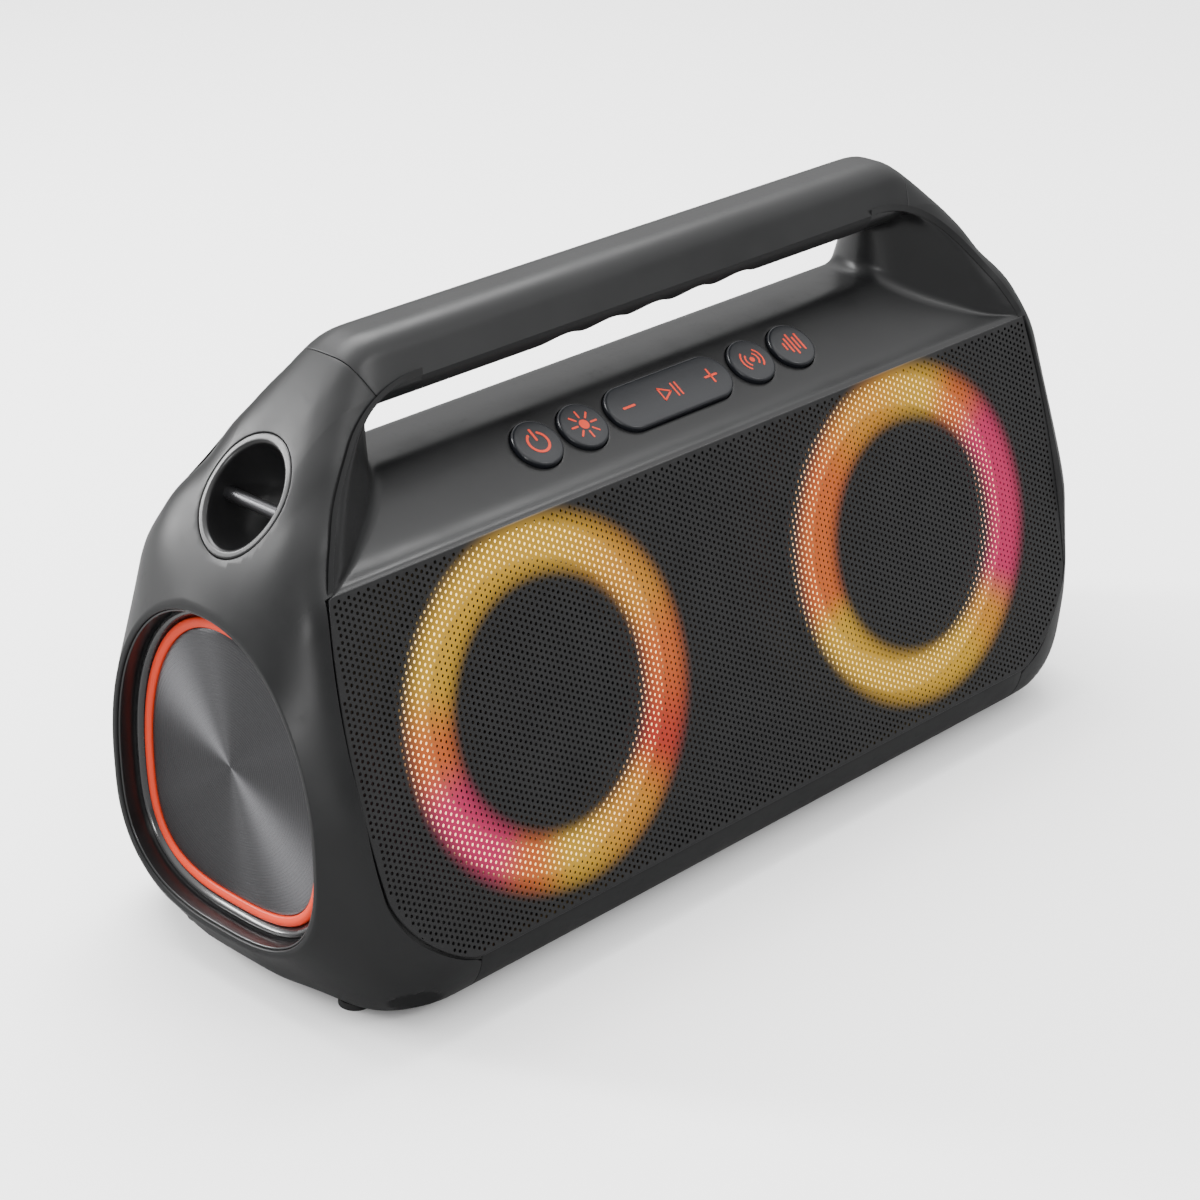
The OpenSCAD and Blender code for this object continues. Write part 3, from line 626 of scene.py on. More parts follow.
def brushed(name, colour, rough, centre):
    """Metal turned on a lathe: fine rings round an axis along X, stretched highlights, and painted highlight
    fans in its colour.
    """
    g = Graph(name)
    y = g.math("SUBTRACT", g.dot((0, 1, 0)), float(centre[1] * MM))
    z = g.math("SUBTRACT", g.dot((0, 0, 1)), float(centre[2] * MM))
    radius = g.length(y, z)
    rings = g.math("SINE", g.math("MULTIPLY", radius, 2 * math.pi / RING_STEP))
    hair = g.node("ShaderNodeTexNoise", noise_dimensions="1D")
    g.link(g.math("MULTIPLY", radius, 9000.0), hair.inputs["W"])
    hair.inputs["Scale"].default_value = 1.0
    hair.inputs["Detail"].default_value = 3
    relief = g.math("ADD", g.math("MULTIPLY", rings, 0.5), g.math("MULTIPLY", hair.outputs[0], 0.7))
    normal = g.bump(relief, 0.3, 0.0001)
    tangent = g.node("ShaderNodeTangent", direction_type="RADIAL", axis="X")
    tone = g.mix(g.remap(hair.outputs[0], 0.3, 0.7, 0, 1), tinted(colour, 0.7), tinted(colour))
    # Painted highlight: a pair of opposite bright fans painted into the base colour round the plate's centre
    turn = g.math("SUBTRACT", g.math("ARCTAN2", z, y), HIGHLIGHT_FAN_TURN)
    swing = g.math("COSINE", g.math("MULTIPLY", turn, 2.0))
    painted_highlight_fan = g.math("POWER", g.remap(swing, -1, 1, 0, 1), 7.0)
    painted_highlight_fan = g.math("MULTIPLY", painted_highlight_fan, g.remap(hair.outputs[0], 0.2, 0.8, 0.5, 1))
    tone = g.mix(painted_highlight_fan, tone, tinted(colour, HIGHLIGHT_FAN_GAIN))
    roughness = g.remap(hair.outputs[0], 0.3, 0.7, rough - 0.03, rough + 0.05)
    stretched = {"Anisotropic": 0.9, "Anisotropic_Rotation": 0.25, "Tangent": tangent.outputs[0]}
    return g.base(tone, roughness, 1.0, normal, **stretched)


# Colours round each light ring: (share of a turn from +X towards the top, colour)
YELLOW = (1.0, 0.54, 0.0)
GOLD = (1.0, 0.38, 0.0)
ORANGE = (1.0, 0.17, 0.0)
RED = (0.8, 0.03, 0.0)
PINK = (0.92, 0.0, 0.15)
LEFT_GLOW = [
    (0.0, ORANGE), (0.08, GOLD), (0.22, YELLOW), (0.42, YELLOW), (0.5, ORANGE), (0.56, PINK),
    (0.63, PINK), (0.68, ORANGE), (0.74, YELLOW), (0.84, GOLD), (0.91, RED), (1.0, ORANGE),
]
RIGHT_GLOW = [
    (0.0, PINK), (0.08, PINK), (0.14, ORANGE), (0.2, YELLOW), (0.3, GOLD), (0.4, ORANGE),
    (0.52, ORANGE), (0.57, YELLOW), (0.8, YELLOW), (0.86, GOLD), (0.92, PINK), (1.0, PINK),
]
GLOW_R = 54.5
GLOW_WIDTH = 10.5
CREAM = (1.0, 0.80, 0.42)
# WEB_GLOW is the strength of the painted glow on the grille steel; GUIDE_GLOW is the light rings' own glow
WEB_GLOW = 0.68
GUIDE_GLOW = 3.4


def glow_field(g, side):
    """Place across the ring from its inner to its outer edge, and the colour round one driver."""
    x = g.math("SUBTRACT", g.dot((1, 0, 0)), float(side * DRIVER_X * MM))
    v = g.math("SUBTRACT", g.dot(UP), float(GRILLE @ UP * MM))
    radius = g.length(x, v)
    turn = g.math("DIVIDE", g.math("ARCTAN2", v, x), 2 * math.pi)
    turn = g.math("FRACT", g.math("ADD", turn, 1.0))
    ramp = g.node("ShaderNodeValToRGB")
    stops = LEFT_GLOW if side < 0 else RIGHT_GLOW
    ramp.color_ramp.interpolation = "EASE"
    while len(ramp.color_ramp.elements) < len(stops):
        ramp.color_ramp.elements.new(0.5)
    for element, (where, colour) in zip(ramp.color_ramp.elements, stops):
        element.position = where
        element.color = tinted(colour)
    g.link(turn, ramp.inputs[0])
    return g.math("SUBTRACT", radius, GLOW_R * MM), ramp.outputs[0]


def hill(g, offset, inner, top_in, top_out, outer):
    """Rises from 0 to 1 between two offsets across the ring and falls again."""
    up = g.remap(offset, inner * MM, top_in * MM, 0.0, 1.0, smooth=True)
    down = g.remap(offset, top_out * MM, outer * MM, 1.0, 0.0, smooth=True)
    return g.math("MULTIPLY", up, down)


def both_glows(g):
    left, left_colour = glow_field(g, -1)
    right, right_colour = glow_field(g, 1)
    to_right = g.math("GREATER_THAN", g.dot((1, 0, 0)), 0.0)
    inverse = g.math("SUBTRACT", 1.0, to_right)
    offset = g.math("ADD", g.math("MULTIPLY", right, to_right), g.math("MULTIPLY", left, inverse))
    return offset, g.mix(to_right, left_colour, right_colour)


def grille_paint():
    """Powder-coated perforated steel with a painted glow in the colours of the light rings behind it."""
    g = Graph("grille_steel")
    fine = g.noise(5200, 2)
    broad = g.noise(60, 3)
    offset, colour = both_glows(g)
    dark, light = tinted((0.009, 0.009, 0.0096)), tinted((0.012, 0.012, 0.0126))
    tone = g.mix(g.remap(broad, 0.3, 0.7, 0, 1), dark, light)
    # Painted glow: emission on the steel in the ring colours, strongest over each light ring
    power = g.math("MULTIPLY", hill(g, offset, -14, -4, 2, 13), WEB_GLOW)
    rough = g.remap(broad, 0.3, 0.7, 0.42, 0.54)
    normal = g.bump(fine, 0.15, 0.00008)
    return g.base(tone, rough, 0.35, normal, Emission_Color=colour, Emission_Strength=power)


def light_guide(side):
    """Frosted light ring, brightest along its middle."""
    g = Graph("light_guide_" + side_name(side))
    offset, colour = glow_field(g, side)
    speckle = g.remap(g.noise(900, 3), 0.3, 0.7, 0.88, 1.1)
    core = hill(g, offset, -7.5, -4, 3, 6.5)
    power = g.math("MULTIPLY", g.math("MULTIPLY", core, speckle), GUIDE_GLOW)
    glow = {"Emission_Color": g.mix(0.6, colour, tinted(CREAM)), "Emission_Strength": power}
    return g.base(tinted((0.08, 0.075, 0.07)), 0.5, 0.0, g.bump(g.noise(1500, 2), 0.2), **glow)


def cloth(name, colour):
    g = Graph(name)
    weave = g.bump(g.texture("Voronoi", 900).outputs[0], 0.5)
    return g.base(tinted(colour), g.remap(g.noise(80), 0.3, 0.7, 0.75, 0.92), 0.0, weave)


def board(name):
    """Circuit board: green resist over faint tracks."""
    g = Graph(name)
    tracks = g.texture("Brick", 160).outputs["Fac"]
    tone = g.mix(tracks, tinted((0.012, 0.075, 0.03)), tinted((0.03, 0.14, 0.06)))
    return g.base(tone, g.remap(g.noise(120), 0.3, 0.7, 0.3, 0.42), 0.0, g.bump(tracks, 0.2))


# Moulded finishes by material slot: colour, roughness, scale and depth of the grain, what differs
MOULDED = {
    "cap_plastic": ((0.0098, 0.0100, 0.0104), 0.40, 2600, 0.08, {"shine": 0.25}),
    "deck_plastic": ((0.0092, 0.0094, 0.0098), 0.36, 2800, 0.07, {"shine": 0.28}),
    "grip_rubber": ((0.008, 0.008, 0.0085), 0.6, 2200, 0.2, {"shine": 0.3}),
    "base_plastic": ((0.0088, 0.0090, 0.0094), 0.46, 2400, 0.1, {"shine": 0.25}),
    "inner_plastic": ((0.012, 0.012, 0.013), 0.6, 2000, 0.1, {}),
    "gasket_rubber": ((0.006, 0.006, 0.006), 0.8, 1800, 0.2, {}),
    "screw_steel": ((0.05, 0.05, 0.052), 0.34, 3000, 0.06, {"metal": 0.9}),
    "basket_steel": ((0.02, 0.02, 0.022), 0.42, 1500, 0.1, {"metal": 0.5}),
    "magnet_steel": ((0.14, 0.14, 0.15), 0.35, 1300, 0.1, {"metal": 0.9}),
    "coil_copper": ((0.55, 0.2, 0.06), 0.32, 3200, 0.2, {"metal": 1.0}),
    "gloss_black": ((0.005, 0.005, 0.0055), 0.30, 900, 0.03, {"spread": 0.03, "coat": 0.2}),
    "gloss_rubber": ((0.010, 0.010, 0.011), 0.26, 1100, 0.04, {"spread": 0.04, "coat": 0.5}),
    "accent_plastic": ((0.72, 0.045, 0.012), 0.42, 2800, 0.08, {"shine": 0.3}),
    "cup_plastic": ((0.0095, 0.0095, 0.010), 0.34, 2600, 0.08, {"shine": 0.4}),
    "bar_steel": ((0.055, 0.055, 0.058), 0.3, 2000, 0.08, {"metal": 0.8}),
    "button_rubber": ((0.0065, 0.0075, 0.010), 0.34, 2600, 0.06, {"shine": 0.4}),
    "carrier_plastic": ((0.5, 0.5, 0.47), 0.5, 1800, 0.08, {}),
    "membrane_rubber": ((0.06, 0.062, 0.068), 0.6, 1500, 0.1, {}),
    "sink_aluminium": ((0.5, 0.51, 0.52), 0.36, 2500, 0.1, {"metal": 1.0}),
    "battery_wrap": ((0.02, 0.08, 0.3), 0.3, 900, 0.05, {}),
    "bracket_steel": ((0.4, 0.41, 0.42), 0.38, 1600, 0.1, {"metal": 1.0}),
    "wire_sleeve": ((0.5, 0.02, 0.02), 0.4, 1600, 0.08, {}),
}
PAINT = {}


def make_paints():
    for slot, (colour, rough, grain, depth, more) in MOULDED.items():
        PAINT[slot] = moulded(slot, colour, rough, grain, depth, **more)
    PAINT["grille_metal"] = grille_paint()
    PAINT["cone_paper"] = cloth("cone_paper", (0.014, 0.014, 0.015))
    PAINT["spider_cloth"] = cloth("spider_cloth", (0.35, 0.15, 0.035))
    PAINT["circuit_board"] = board("circuit_board")
    plate = middle("radiator_plate_right")
    PAINT["brushed_plate"] = brushed("brushed_plate", (0.062, 0.062, 0.065), 0.28, plate)


# ---- end caps


def side_name(side):
    return "left" if side < 0 else "right"


def pocket_local(p):
    q = p - POCKET
    return q @ POCKET_DOWN, q[..., 1] / POCKET_SQUEEZE


def pocket_level(p):
    a, b = pocket_local(p)
    return np.hypot(a, b) - POCKET_SEAM_R - 0.5


def pocket_snap(p):
    a, b = pocket_local(p)
    scale = (POCKET_SEAM_R + 0.5) / np.hypot(a, b)
    height = (p - POCKET) @ POCKET_OUT
    flat = POCKET + (a * scale)[:, None] * POCKET_DOWN + height[:, None] * POCKET_OUT
    flat[:, 1] = b * scale * POCKET_SQUEEZE
    return drop_on_skin(flat, POCKET_OUT)


def pocket_angle(p):
    a, b = pocket_local(p)
    return math.atan2(b, a)


def cap_angles():
    """Directions round the axis, closer together where the edge turns."""
    even = np.linspace(0, 2 * math.pi, 440, endpoint=False)
    turns = []
    for y, z in (DECK_EDGE, (19, CREASE_Z)):
        for a in (math.atan2(z - AXIS_Z, -y), math.atan2(z - AXIS_Z, y)):
            turns += [a - 0.004, a - 0.001, a + 0.001, a + 0.004]
    return np.sort(np.concatenate([even, np.array(turns) % (2 * math.pi)]))


def with_scoop(surface):
    """Presses a small scoop into the front lower corner of the cap."""
    away = np.linalg.norm((surface - SCOOP_AT) / SCOOP_SIZE, axis=-1)
    depth = SCOOP_DEPTH * np.clip(1 - away**2, 0, 1) ** 0.6
    return surface + depth[..., None] * np.array([0, 0.6, 0.8])


def end_cap(side):
    angle = cap_angles()
    edge = find_edge(angle)
    columns = 58
    share = np.linspace(0, 1, columns)
    start, stop = edge + 0.2, RIM_X
    x = start[:, None] + (stop - start)[:, None] * share[None, :]
    surface = with_scoop(skin(np.broadcast_to(angle[:, None], x.shape), x))
    shell = Shell()
    quads = grid_faces(len(angle), columns, wrap_rows=True)
    flat = surface.reshape(-1, 3)
    points, faces, rim = punch(flat, quads, pocket_level, pocket_snap, pocket_angle)
    shell.add(points, faces)
    # Seam side
    ring = skin(angle, start)
    outward = unit(ring * [0, 1, 1] - np.array([0, 0, AXIS_Z]))
    rows = turned_in(ring, skin(angle, start + 0.8), outward, 0.28, 4.0)
    shell.grid(np.swapaxes(rows, 0, 1), wrap_rows=True)
    # Rim land and the turned-in mouth
    land = [(-RIM_LAND, 0), (-1.5, 0), (-0.6, 0), (-0.2, 0.12), (0, 0.5), (0, 16)]
    rings = [polar_point(angle, RIM_X - depth, rim_radius(inset, angle)) for inset, depth in land]
    shell.grid(np.swapaxes(np.array(rings), 0, 1), wrap_rows=True)
    # Edge of the strap pocket
    loop = points[rim]
    down = -POCKET_OUT
    centre = POCKET + ((loop - POCKET) @ POCKET_OUT)[:, None] * POCKET_OUT
    radial = unit(loop - centre)
    rows = [loop - radial * 0.5 * s + down * 0.5 * c for s, c in quarter(4)]
    rows.append(rows[-1] + down * 6)
    shell.grid(np.array(rows), wrap_cols=True)
    name = "end_cap_" + side_name(side)
    finish_piece(shell, "shell_" + name, 50, "cap_plastic", name, side=side)


# ---- handle and deck

# Deck and underside of the handle from front to back, as (y, z)
DECK_LINE = [
    (-41.8, 152.2), (-41.2, 152.9), (-39.8, 153.4), (-37.6, 153.9), (-34.8, 154.9), (-31.2, 157.0),
    (-24, 161.6), (-11.2, 169.8), (-7.5, 171.5), (0, 171.8), (9, 171.8), (17, 171.0), (22.5, 168.0),
    (38, 156.8), (41.9, 153.8), (41.9, 151.2),
]
GRIP_LINE = [
    (-17.3, 202), (-16.8, 199), (-12.8, 194.6), (-8.5, 193.5), (8.5, 193.5), (12.8, 194.6),
    (16.8, 199), (17.3, 202),
]
ROWS = 96


def opening_loop(deck, under, reach):
    """Right half of the hand opening at one depth: deck, arm wall, underside of the handle."""
    low, high = np.array([0, *deck]), np.array([0, *under])
    q = 1 - (1 - np.linspace(0, 1, 90)) ** 1.25
    wall = low + (high - low) * q[:, None]
    wall[:, 0] = WAIST_X + (arm_edge_x(wall[:, 2]) - WAIST_X) * abs(reach) ** 1.7
    if abs(reach) > 0.5:
        front = wall.copy()
        for _ in range(3):
            front[:, 0] = arm_edge_x(front[:, 2])
            front = drop_on_skin(front, np.array([0, math.copysign(1, reach), 0]), 8)
        pull = ((abs(reach) - 0.5) / 0.5) ** 3
        shift = (front - wall)[:, 1] * pull
        shift *= np.clip(q * 14, 0, 1) * np.clip((1 - q) * 60, 0, 1)
        wall[:, 1] += shift * (1 if abs(reach) > 0.98 else pull)
    run = run_length(wall)
    fade = 1 - abs(reach) ** 2.5
    low_cut, high_cut = 1.5 + 4 * fade, 1.5 + 3 * fade

    def on_wall(s):
        return np.array([np.interp(s, run, wall[:, k]) for k in range(3)])

    deck_end = wall[0] - np.array([low_cut, 0, 0])
    top_end = wall[-1] - np.array([high_cut, 0, 0])
    deck_part = np.linspace(low, deck_end, 84)[:-1]
    first = corner_curve(deck_end, wall[0], on_wall(low_cut), 14)
    middle_part = np.array([on_wall(s) for s in np.linspace(low_cut, run[-1] - high_cut, 34)[1:-1]])
    second = corner_curve(on_wall(run[-1] - high_cut), wall[-1], top_end, 12)
    under_end = np.array([min(GRIP_HALF - 2, top_end[0] - 1), high[1], high[2]])
    under_part = np.linspace(top_end, under_end, 6)[1:]
    return np.concatenate([deck_part, first, middle_part, second, under_part])


def opening_surface():
    deck, under = (resample(softened(line, 3), ROWS) for line in (DECK_LINE, GRIP_LINE))
    half = np.array([opening_loop(*row) for row in zip(deck, under, np.linspace(-1, 1, ROWS))])
    other = half[:, ::-1] * [-1, 1, 1]
    return np.concatenate([other[:, :-1], half], axis=1)


ROUND_KEYS = {name: middle(name + "_button")[0] for name in ("power", "light", "wireless", "bass")}
KEY_GAP = 0.6
KEY_R = np.ptp(box("power_button"), axis=0)[0] / 2 - 1.0
LONG_HALF = np.ptp(box("volume_play_key"), axis=0)[0] / 2 - KEY_R


def deck_local(p):
    q = p - DECK
    return q[..., 0], q @ DECK_UP


def pill_level(p, x0, half, radius):
    a, b = deck_local(p)
    a = a - x0
    nearest = np.clip(a, -half, half)
    far = abs((p - DECK) @ DECK_OUT) > 12
    return np.where(far, 50.0, np.hypot(a - nearest, b) - radius)


def pill_snap(p, x0, half, radius):
    a, b = deck_local(p)
    nearest = np.clip(a - x0, -half, half) + x0
    gap = np.hypot(a - nearest, b)
    scale = radius / np.maximum(gap, 1e-6)
    new_a, new_b = nearest + (a - nearest) * scale, b * scale
    return p + (new_a - a)[:, None] * ACROSS + (new_b - b)[:, None] * DECK_UP


def cut_deck_holes(shell, surface):
    rows, cols = surface.shape[:2]
    quads = grid_faces(rows, cols)
    points = surface.reshape(-1, 3)
    radius = KEY_R + KEY_GAP
    holes = [(x, 0.001) for x in ROUND_KEYS.values()]
    holes.insert(2, (0.0, LONG_HALF))
    for x0, half in holes:
        near, far = [], []
        for q in quads:
            if len(q) == 4 and pill_level(points[list(q)], x0, half, radius).min() < 3:
                near.append(q)
            else:
                far.append(q)

        def angle(p):
            a, b = deck_local(p)
            return math.atan2(b, a - x0)

        points, faces, rim = punch(
            points,
            near,
            lambda p: pill_level(p, x0, half, radius),
            lambda p: pill_snap(p, x0, half, radius),
            angle,
        )
        quads = far + faces
        loop = points[rim]
        a, b = deck_local(loop)
        near_x = np.clip(a - x0, -half, half) + x0
        inward = unit((near_x - a)[:, None] * ACROSS - b[:, None] * DECK_UP)
        rows_in = [loop + inward * 0.35 * s - DECK_OUT * 0.35 * c for s, c in quarter(3)]
        rows_in.append(rows_in[-1] - DECK_OUT * 3)
        shell.grid(np.array(rows_in), wrap_cols=True)
    shell.add(points, quads)


def angle_at_height(z, x):
    """Direction round the axis in which the skin reaches a height, on the +Y side."""
    low, high = np.full(np.shape(x), 0.3), np.full(np.shape(x), math.pi / 2)
    return bisect(low, high, lambda a: AXIS_Z + skin_radius(a, x) * np.sin(a) < z)


def handle_crown(shell):
    """Outer skin of the handle from the front crease to the rear one."""
    rows, columns = 72, 110
    around = np.linspace(-1, 1, rows)
    share = np.linspace(-1, 1, columns)
    x_end = np.full(rows, 135.0)
    for _ in range(12):
        lift = angle_at_height(crease_z(x_end), x_end)
        angle = math.pi / 2 + around * (math.pi / 2 - lift)
        x_end = handle_seam_x(skin(angle, x_end)[:, 2]) - 0.1
    x = (x_end - 0.4)[:, None] * share[None, :]
    lift = angle_at_height(crease_z(x), x)
    angle = math.pi / 2 + around[:, None] * (math.pi / 2 - lift)
    surface = skin(angle, x)
    shell.grid(surface)
    outward = np.array([[0, 0, 1.0]]) + unit(surface[:, 0] * [0, 1, 0])
    for edge, inner in ((surface[:, -1], surface[:, -2]), (surface[:, 0], surface[:, 1])):
        shell.grid(turned_in(edge, inner, outward, 0.4, 3.0))


def handle_deck():
    surface = opening_surface()
    shell = Shell()
    cut_deck_holes(shell, surface)
    handle_crown(shell)
    # Rolled edges where the opening meets the caps, the grille and the rear panel
    hollow = np.array([0, 0, 185.0])
    for edge, inwards in ((surface[0], 1.0), (surface[-1], -1.0)):
        inner = edge + np.array([0, inwards, 0])
        shell.grid(turned_in(edge, inner, hollow - edge, 0.22, 2.5))
    finish_piece(shell, "handle_and_deck", 42, "deck_plastic", "handle_deck")


def scallop_height(x, pitch=22.0, count=5, radius=16.0, dip=2.8):
    """Underside of the grip along X: finger hollows between ridges."""
    best = np.full(np.shape(x), -1e3)
    for k in range(count):
        centre = (k - (count - 1) / 2) * pitch
        away = abs(x - centre)
        arc = dip - radius + np.sqrt(np.maximum(radius**2 - away**2, 0))
        best = np.maximum(best, np.where(away < radius, arc, -1e3))
    return best


def handle_grip():
    profile = softened(GRIP_LINE, 3)
    profile = np.concatenate([[[-15.8, 202.2]], profile, [[15.8, 202.2]]])
    profile = resample(profile, 64)
    x = np.linspace(-GRIP_HALF, GRIP_HALF, 300)
    y = np.broadcast_to(profile[None, :, 0], (300, 64)).copy()
    z = np.broadcast_to(profile[None, :, 1], (300, 64)).copy()
    floor = 193.5 + scallop_height(x)[:, None]
    soft = 0.8
    z = np.where(floor > z - 8, soft * np.logaddexp(z / soft, floor / soft), z)
    z = np.minimum(z, 202.2)
    ends = 1.2 * (1 - np.sqrt(np.clip(1 - np.clip((abs(x) - GRIP_HALF + 1.2) / 1.2, 0, 1) ** 2, 0, 1)))
    z = np.minimum(z + ends[:, None], 202.2)
    surface = np.stack([np.broadcast_to(x[:, None], y.shape), y, z], axis=-1)
    shell = Shell()
    shell.grid(surface)
    shell.grid(np.array([surface[:, 0], surface[:, -1]]))
    for k in (0, -1):
        shell.grid(np.array([surface[k], surface[k] * [1, 0.8, 0] + [0, 0, 202]]))
    finish_piece(shell, "handle_grip_shell", 45, "grip_rubber", "handle_grip")


# ---- base, grille and rear


def base_pan():
    """Strip under the grille, the floor and the strip under the rear panel."""
    front = GRILLE + UP * (GRILLE_BOTTOM - FRONT_GAP)
    rear = (GRILLE + UP * (GRILLE_BOTTOM - REAR_GAP)) * [1, -1, 1]
    first = math.atan2(front[2] - AXIS_Z, front[1])
    last = math.atan2(rear[2] - AXIS_Z, rear[1])
    angle = np.linspace(first + 0.004, last - 0.004, 160)
    x = np.linspace(-PAN_SEAM_X + 0.5, PAN_SEAM_X - 0.5, 40)
    surface = skin(angle[:, None], x[None, :])
    shell = Shell()
    shell.grid(surface)
    centre = np.array([0, 0, AXIS_Z])
    for edge, inner in ((surface[0], surface[1]), (surface[-1], surface[-2])):
        shell.grid(turned_in(edge, inner, (edge - centre) * [0, 1, 1], 0.5, 5.0))
    for edge, inner in ((surface[:, 0], surface[:, 1]), (surface[:, -1], surface[:, -2])):
        shell.grid(turned_in(edge, inner, (edge - centre) * [0, 1, 1], 0.4, 4.0))
    finish_piece(shell, "base_pan_shell", 45, "base_plastic", "base_pan")


def outline(inset, count=360):
    """Grille outline in its own plane, as (across, up), pulled in by an inset."""
    corner = CORNER_Y - (CORNER_H - inset) * np.sin(np.linspace(0, math.pi / 2, 60)[1:])
    v = np.concatenate([np.linspace(GRILLE_TOP - inset, CORNER_Y, 40), corner])
    right = np.stack([grille_half(v, -inset), v], axis=-1)
    left = right[::-1] * [-1, 1]
    loop = np.concatenate([right, left, right[:1]])
    return resample(loop, count + 1)[:-1]


def on_grille(a, b, depth=0.0):
    a, b = np.asarray(a, float), np.asarray(b, float)
    return GRILLE + a[..., None] * ACROSS + b[..., None] * UP + np.asarray(depth, float)[..., None] * OUT


# Holes of the grille, with their spacing, and the thickness of the sheet
PITCH = 2.36
HOLE_R = 0.68
SHEET = 0.5


def nearest_on(loop, p):
    """Closest points of a closed outline."""
    a, b = loop, np.roll(loop, -1, axis=0)
    step = b - a
    best = np.full(len(p), 1e9)
    result = p.copy()
    for start, d in zip(a, step):
        t = np.clip(((p - start) @ d) / (d @ d), 0, 1)
        q = start + t[:, None] * d
        away = np.hypot(*(p - q).T)
        closer = away < best
        best = np.where(closer, away, best)
        result[closer] = q[closer]
    return result, best


def inside(p, inset):
    v = p[:, 1]
    ok = (v < GRILLE_TOP - inset) & (v > GRILLE_BOTTOM + inset)
    return ok & (abs(p[:, 0]) < grille_half(v, -inset))


def front_grille():
    """Perforated sheet: staggered six-sided holes, with the edge folded back all round."""
    step_x = PITCH * math.cos(math.pi / 6)
    columns = int(GRILLE_HALF / step_x) + 3
    rows = int(80 / PITCH) + 3
    spots = [(i, j) for i in range(-columns, columns + 1) for j in range(-rows, rows + 1)]
    centres = np.array([(i * step_x, (j + i % 2 / 2) * PITCH - 4) for i, j in spots])
    keep = inside(centres, -PITCH * 1.2)
    centres = centres[keep]
    holed = inside(centres, 1.7)
    index = {spots[k]: n for n, k in enumerate(np.flatnonzero(keep))}
    turn = np.arange(6) * math.pi / 3
    corner = np.stack([np.cos(turn), np.sin(turn)], axis=-1) * HOLE_R
    flat = (centres[:, None, :] + corner[None]).reshape(-1, 2)
    edge = outline(0.4)
    loose = ~inside(flat, 0.4)
    flat[loose] = nearest_on(edge, flat[loose])[0]
    front = on_grille(flat[:, 0], flat[:, 1])
    back = on_grille(flat[:, 0], flat[:, 1], -SHEET)
    faces = []
    total = len(front)
    for (i, j), n in index.items():
        m = 6 * n
        neighbours = (i, j + 1), (i + 1, j + i % 2), (i + 1, j + i % 2 - 1)
        above, up_right, low_right = (6 * index[k] if k in index else None for k in neighbours)
        if above is not None:
            faces.append((m + 2, m + 1, above + 5, above + 4))
        if up_right is not None:
            faces.append((m + 1, m, up_right + 4, up_right + 3))
        if low_right is not None:
            faces.append((m, m + 5, low_right + 3, low_right + 2))
        if up_right is not None and low_right is not None:
            faces.append((m, low_right + 2, up_right + 4))
        if above is not None and up_right is not None:
            faces.append((m + 1, up_right + 3, above + 5))
        ring = [m + k for k in range(6)]
        if holed[n]:
            faces += [(a, b, b + total, a + total) for a, b in zip(ring, ring[1:] + ring[:1])]
        else:
            faces.append(tuple(ring))
    shell = Shell()
    shell.add(np.concatenate([front, back]), faces)
    fold = [(0.42, -0.004), (0.25, -0.05), (0.08, -0.2), (0.0, -0.45), (0.0, -6.5)]
    folded = [on_grille(*outline(inset).T, depth) for inset, depth in fold]
    shell.grid(np.array(folded), wrap_cols=True)
    finish_piece(shell, "perforated_grille", 40, "grille_metal", "front_grille")


def dress(node, slot, bevel):
    """A CAD piece shown as it is, with its own finish and eased edges."""
    obj = frame["nodes"][node]
    obj.data.materials.clear()
    obj.data.materials.append(PAINT[slot])
    if bevel:
        ease = obj.modifiers.new("eased_edges", "BEVEL")
        ease.width = bevel * MM
        ease.segments = 2
        ease.limit_method = "ANGLE"
        ease.angle_limit = math.radians(50)
        ease.harden_normals = False


# CAD pieces shown as they are, by material slot: {node: bevel}; a star stands for left and right
DRESSED = {
    "base_plastic": {"rear_panel": 0.5}, "inner_plastic": {"front_baffle": 0.4},
    "gasket_rubber": {"grille_gasket": 0, "rubber_feet": 0.6},
    "screw_steel": {"case_screws": 0.2, "driver_screws": 0.2, "tact_switches": 0.1, "port_jacks": 0.15},
    "basket_steel": {"woofer_basket_*": 0.3}, "magnet_steel": {"woofer_magnet_*": 0.6},
    "coil_copper": {"voice_coil_*": 0.1}, "carrier_plastic": {"key_carrier": 0.1},
    "circuit_board": {"led_board_*": 0.1, "button_board": 0.1, "main_board": 0.1, "port_board": 0.1},
    "membrane_rubber": {"keypad_membrane": 0.2}, "sink_aluminium": {"heat_sink": 0.2},
    "battery_wrap": {"battery_pack": 0.6}, "bracket_steel": {"battery_bracket": 0.2},
    "grip_rubber": {"port_cover": 0.4}, "bar_steel": {"port_cover_pin": 0.15},
    "wire_sleeve": {"wiring_harness": 0},
}


def dress_all():
    for slot, nodes in DRESSED.items():
        for node, bevel in nodes.items():
            for tag in ("left", "right") if "*" in node else ("",):
                dress(node.replace("*", tag), slot, bevel)


# ---- end openings


RIM_TURNS = np.linspace(0, 2 * math.pi, 240, endpoint=False)


def rim_loop(inset, x):
    return polar_point(RIM_TURNS, x, rim_radius(inset, RIM_TURNS))


def swept(name, side, profile):
    """A band following the end opening; profile is (inset, depth)."""
    shell = Shell()
    rows = [rim_loop(inset, RIM_X - depth) for inset, depth in profile]
    shell.grid(np.array(rows), wrap_rows=True, wrap_cols=True)
    if side < 0:
        mirror_points(shell)
    return shell.build(name, 40)


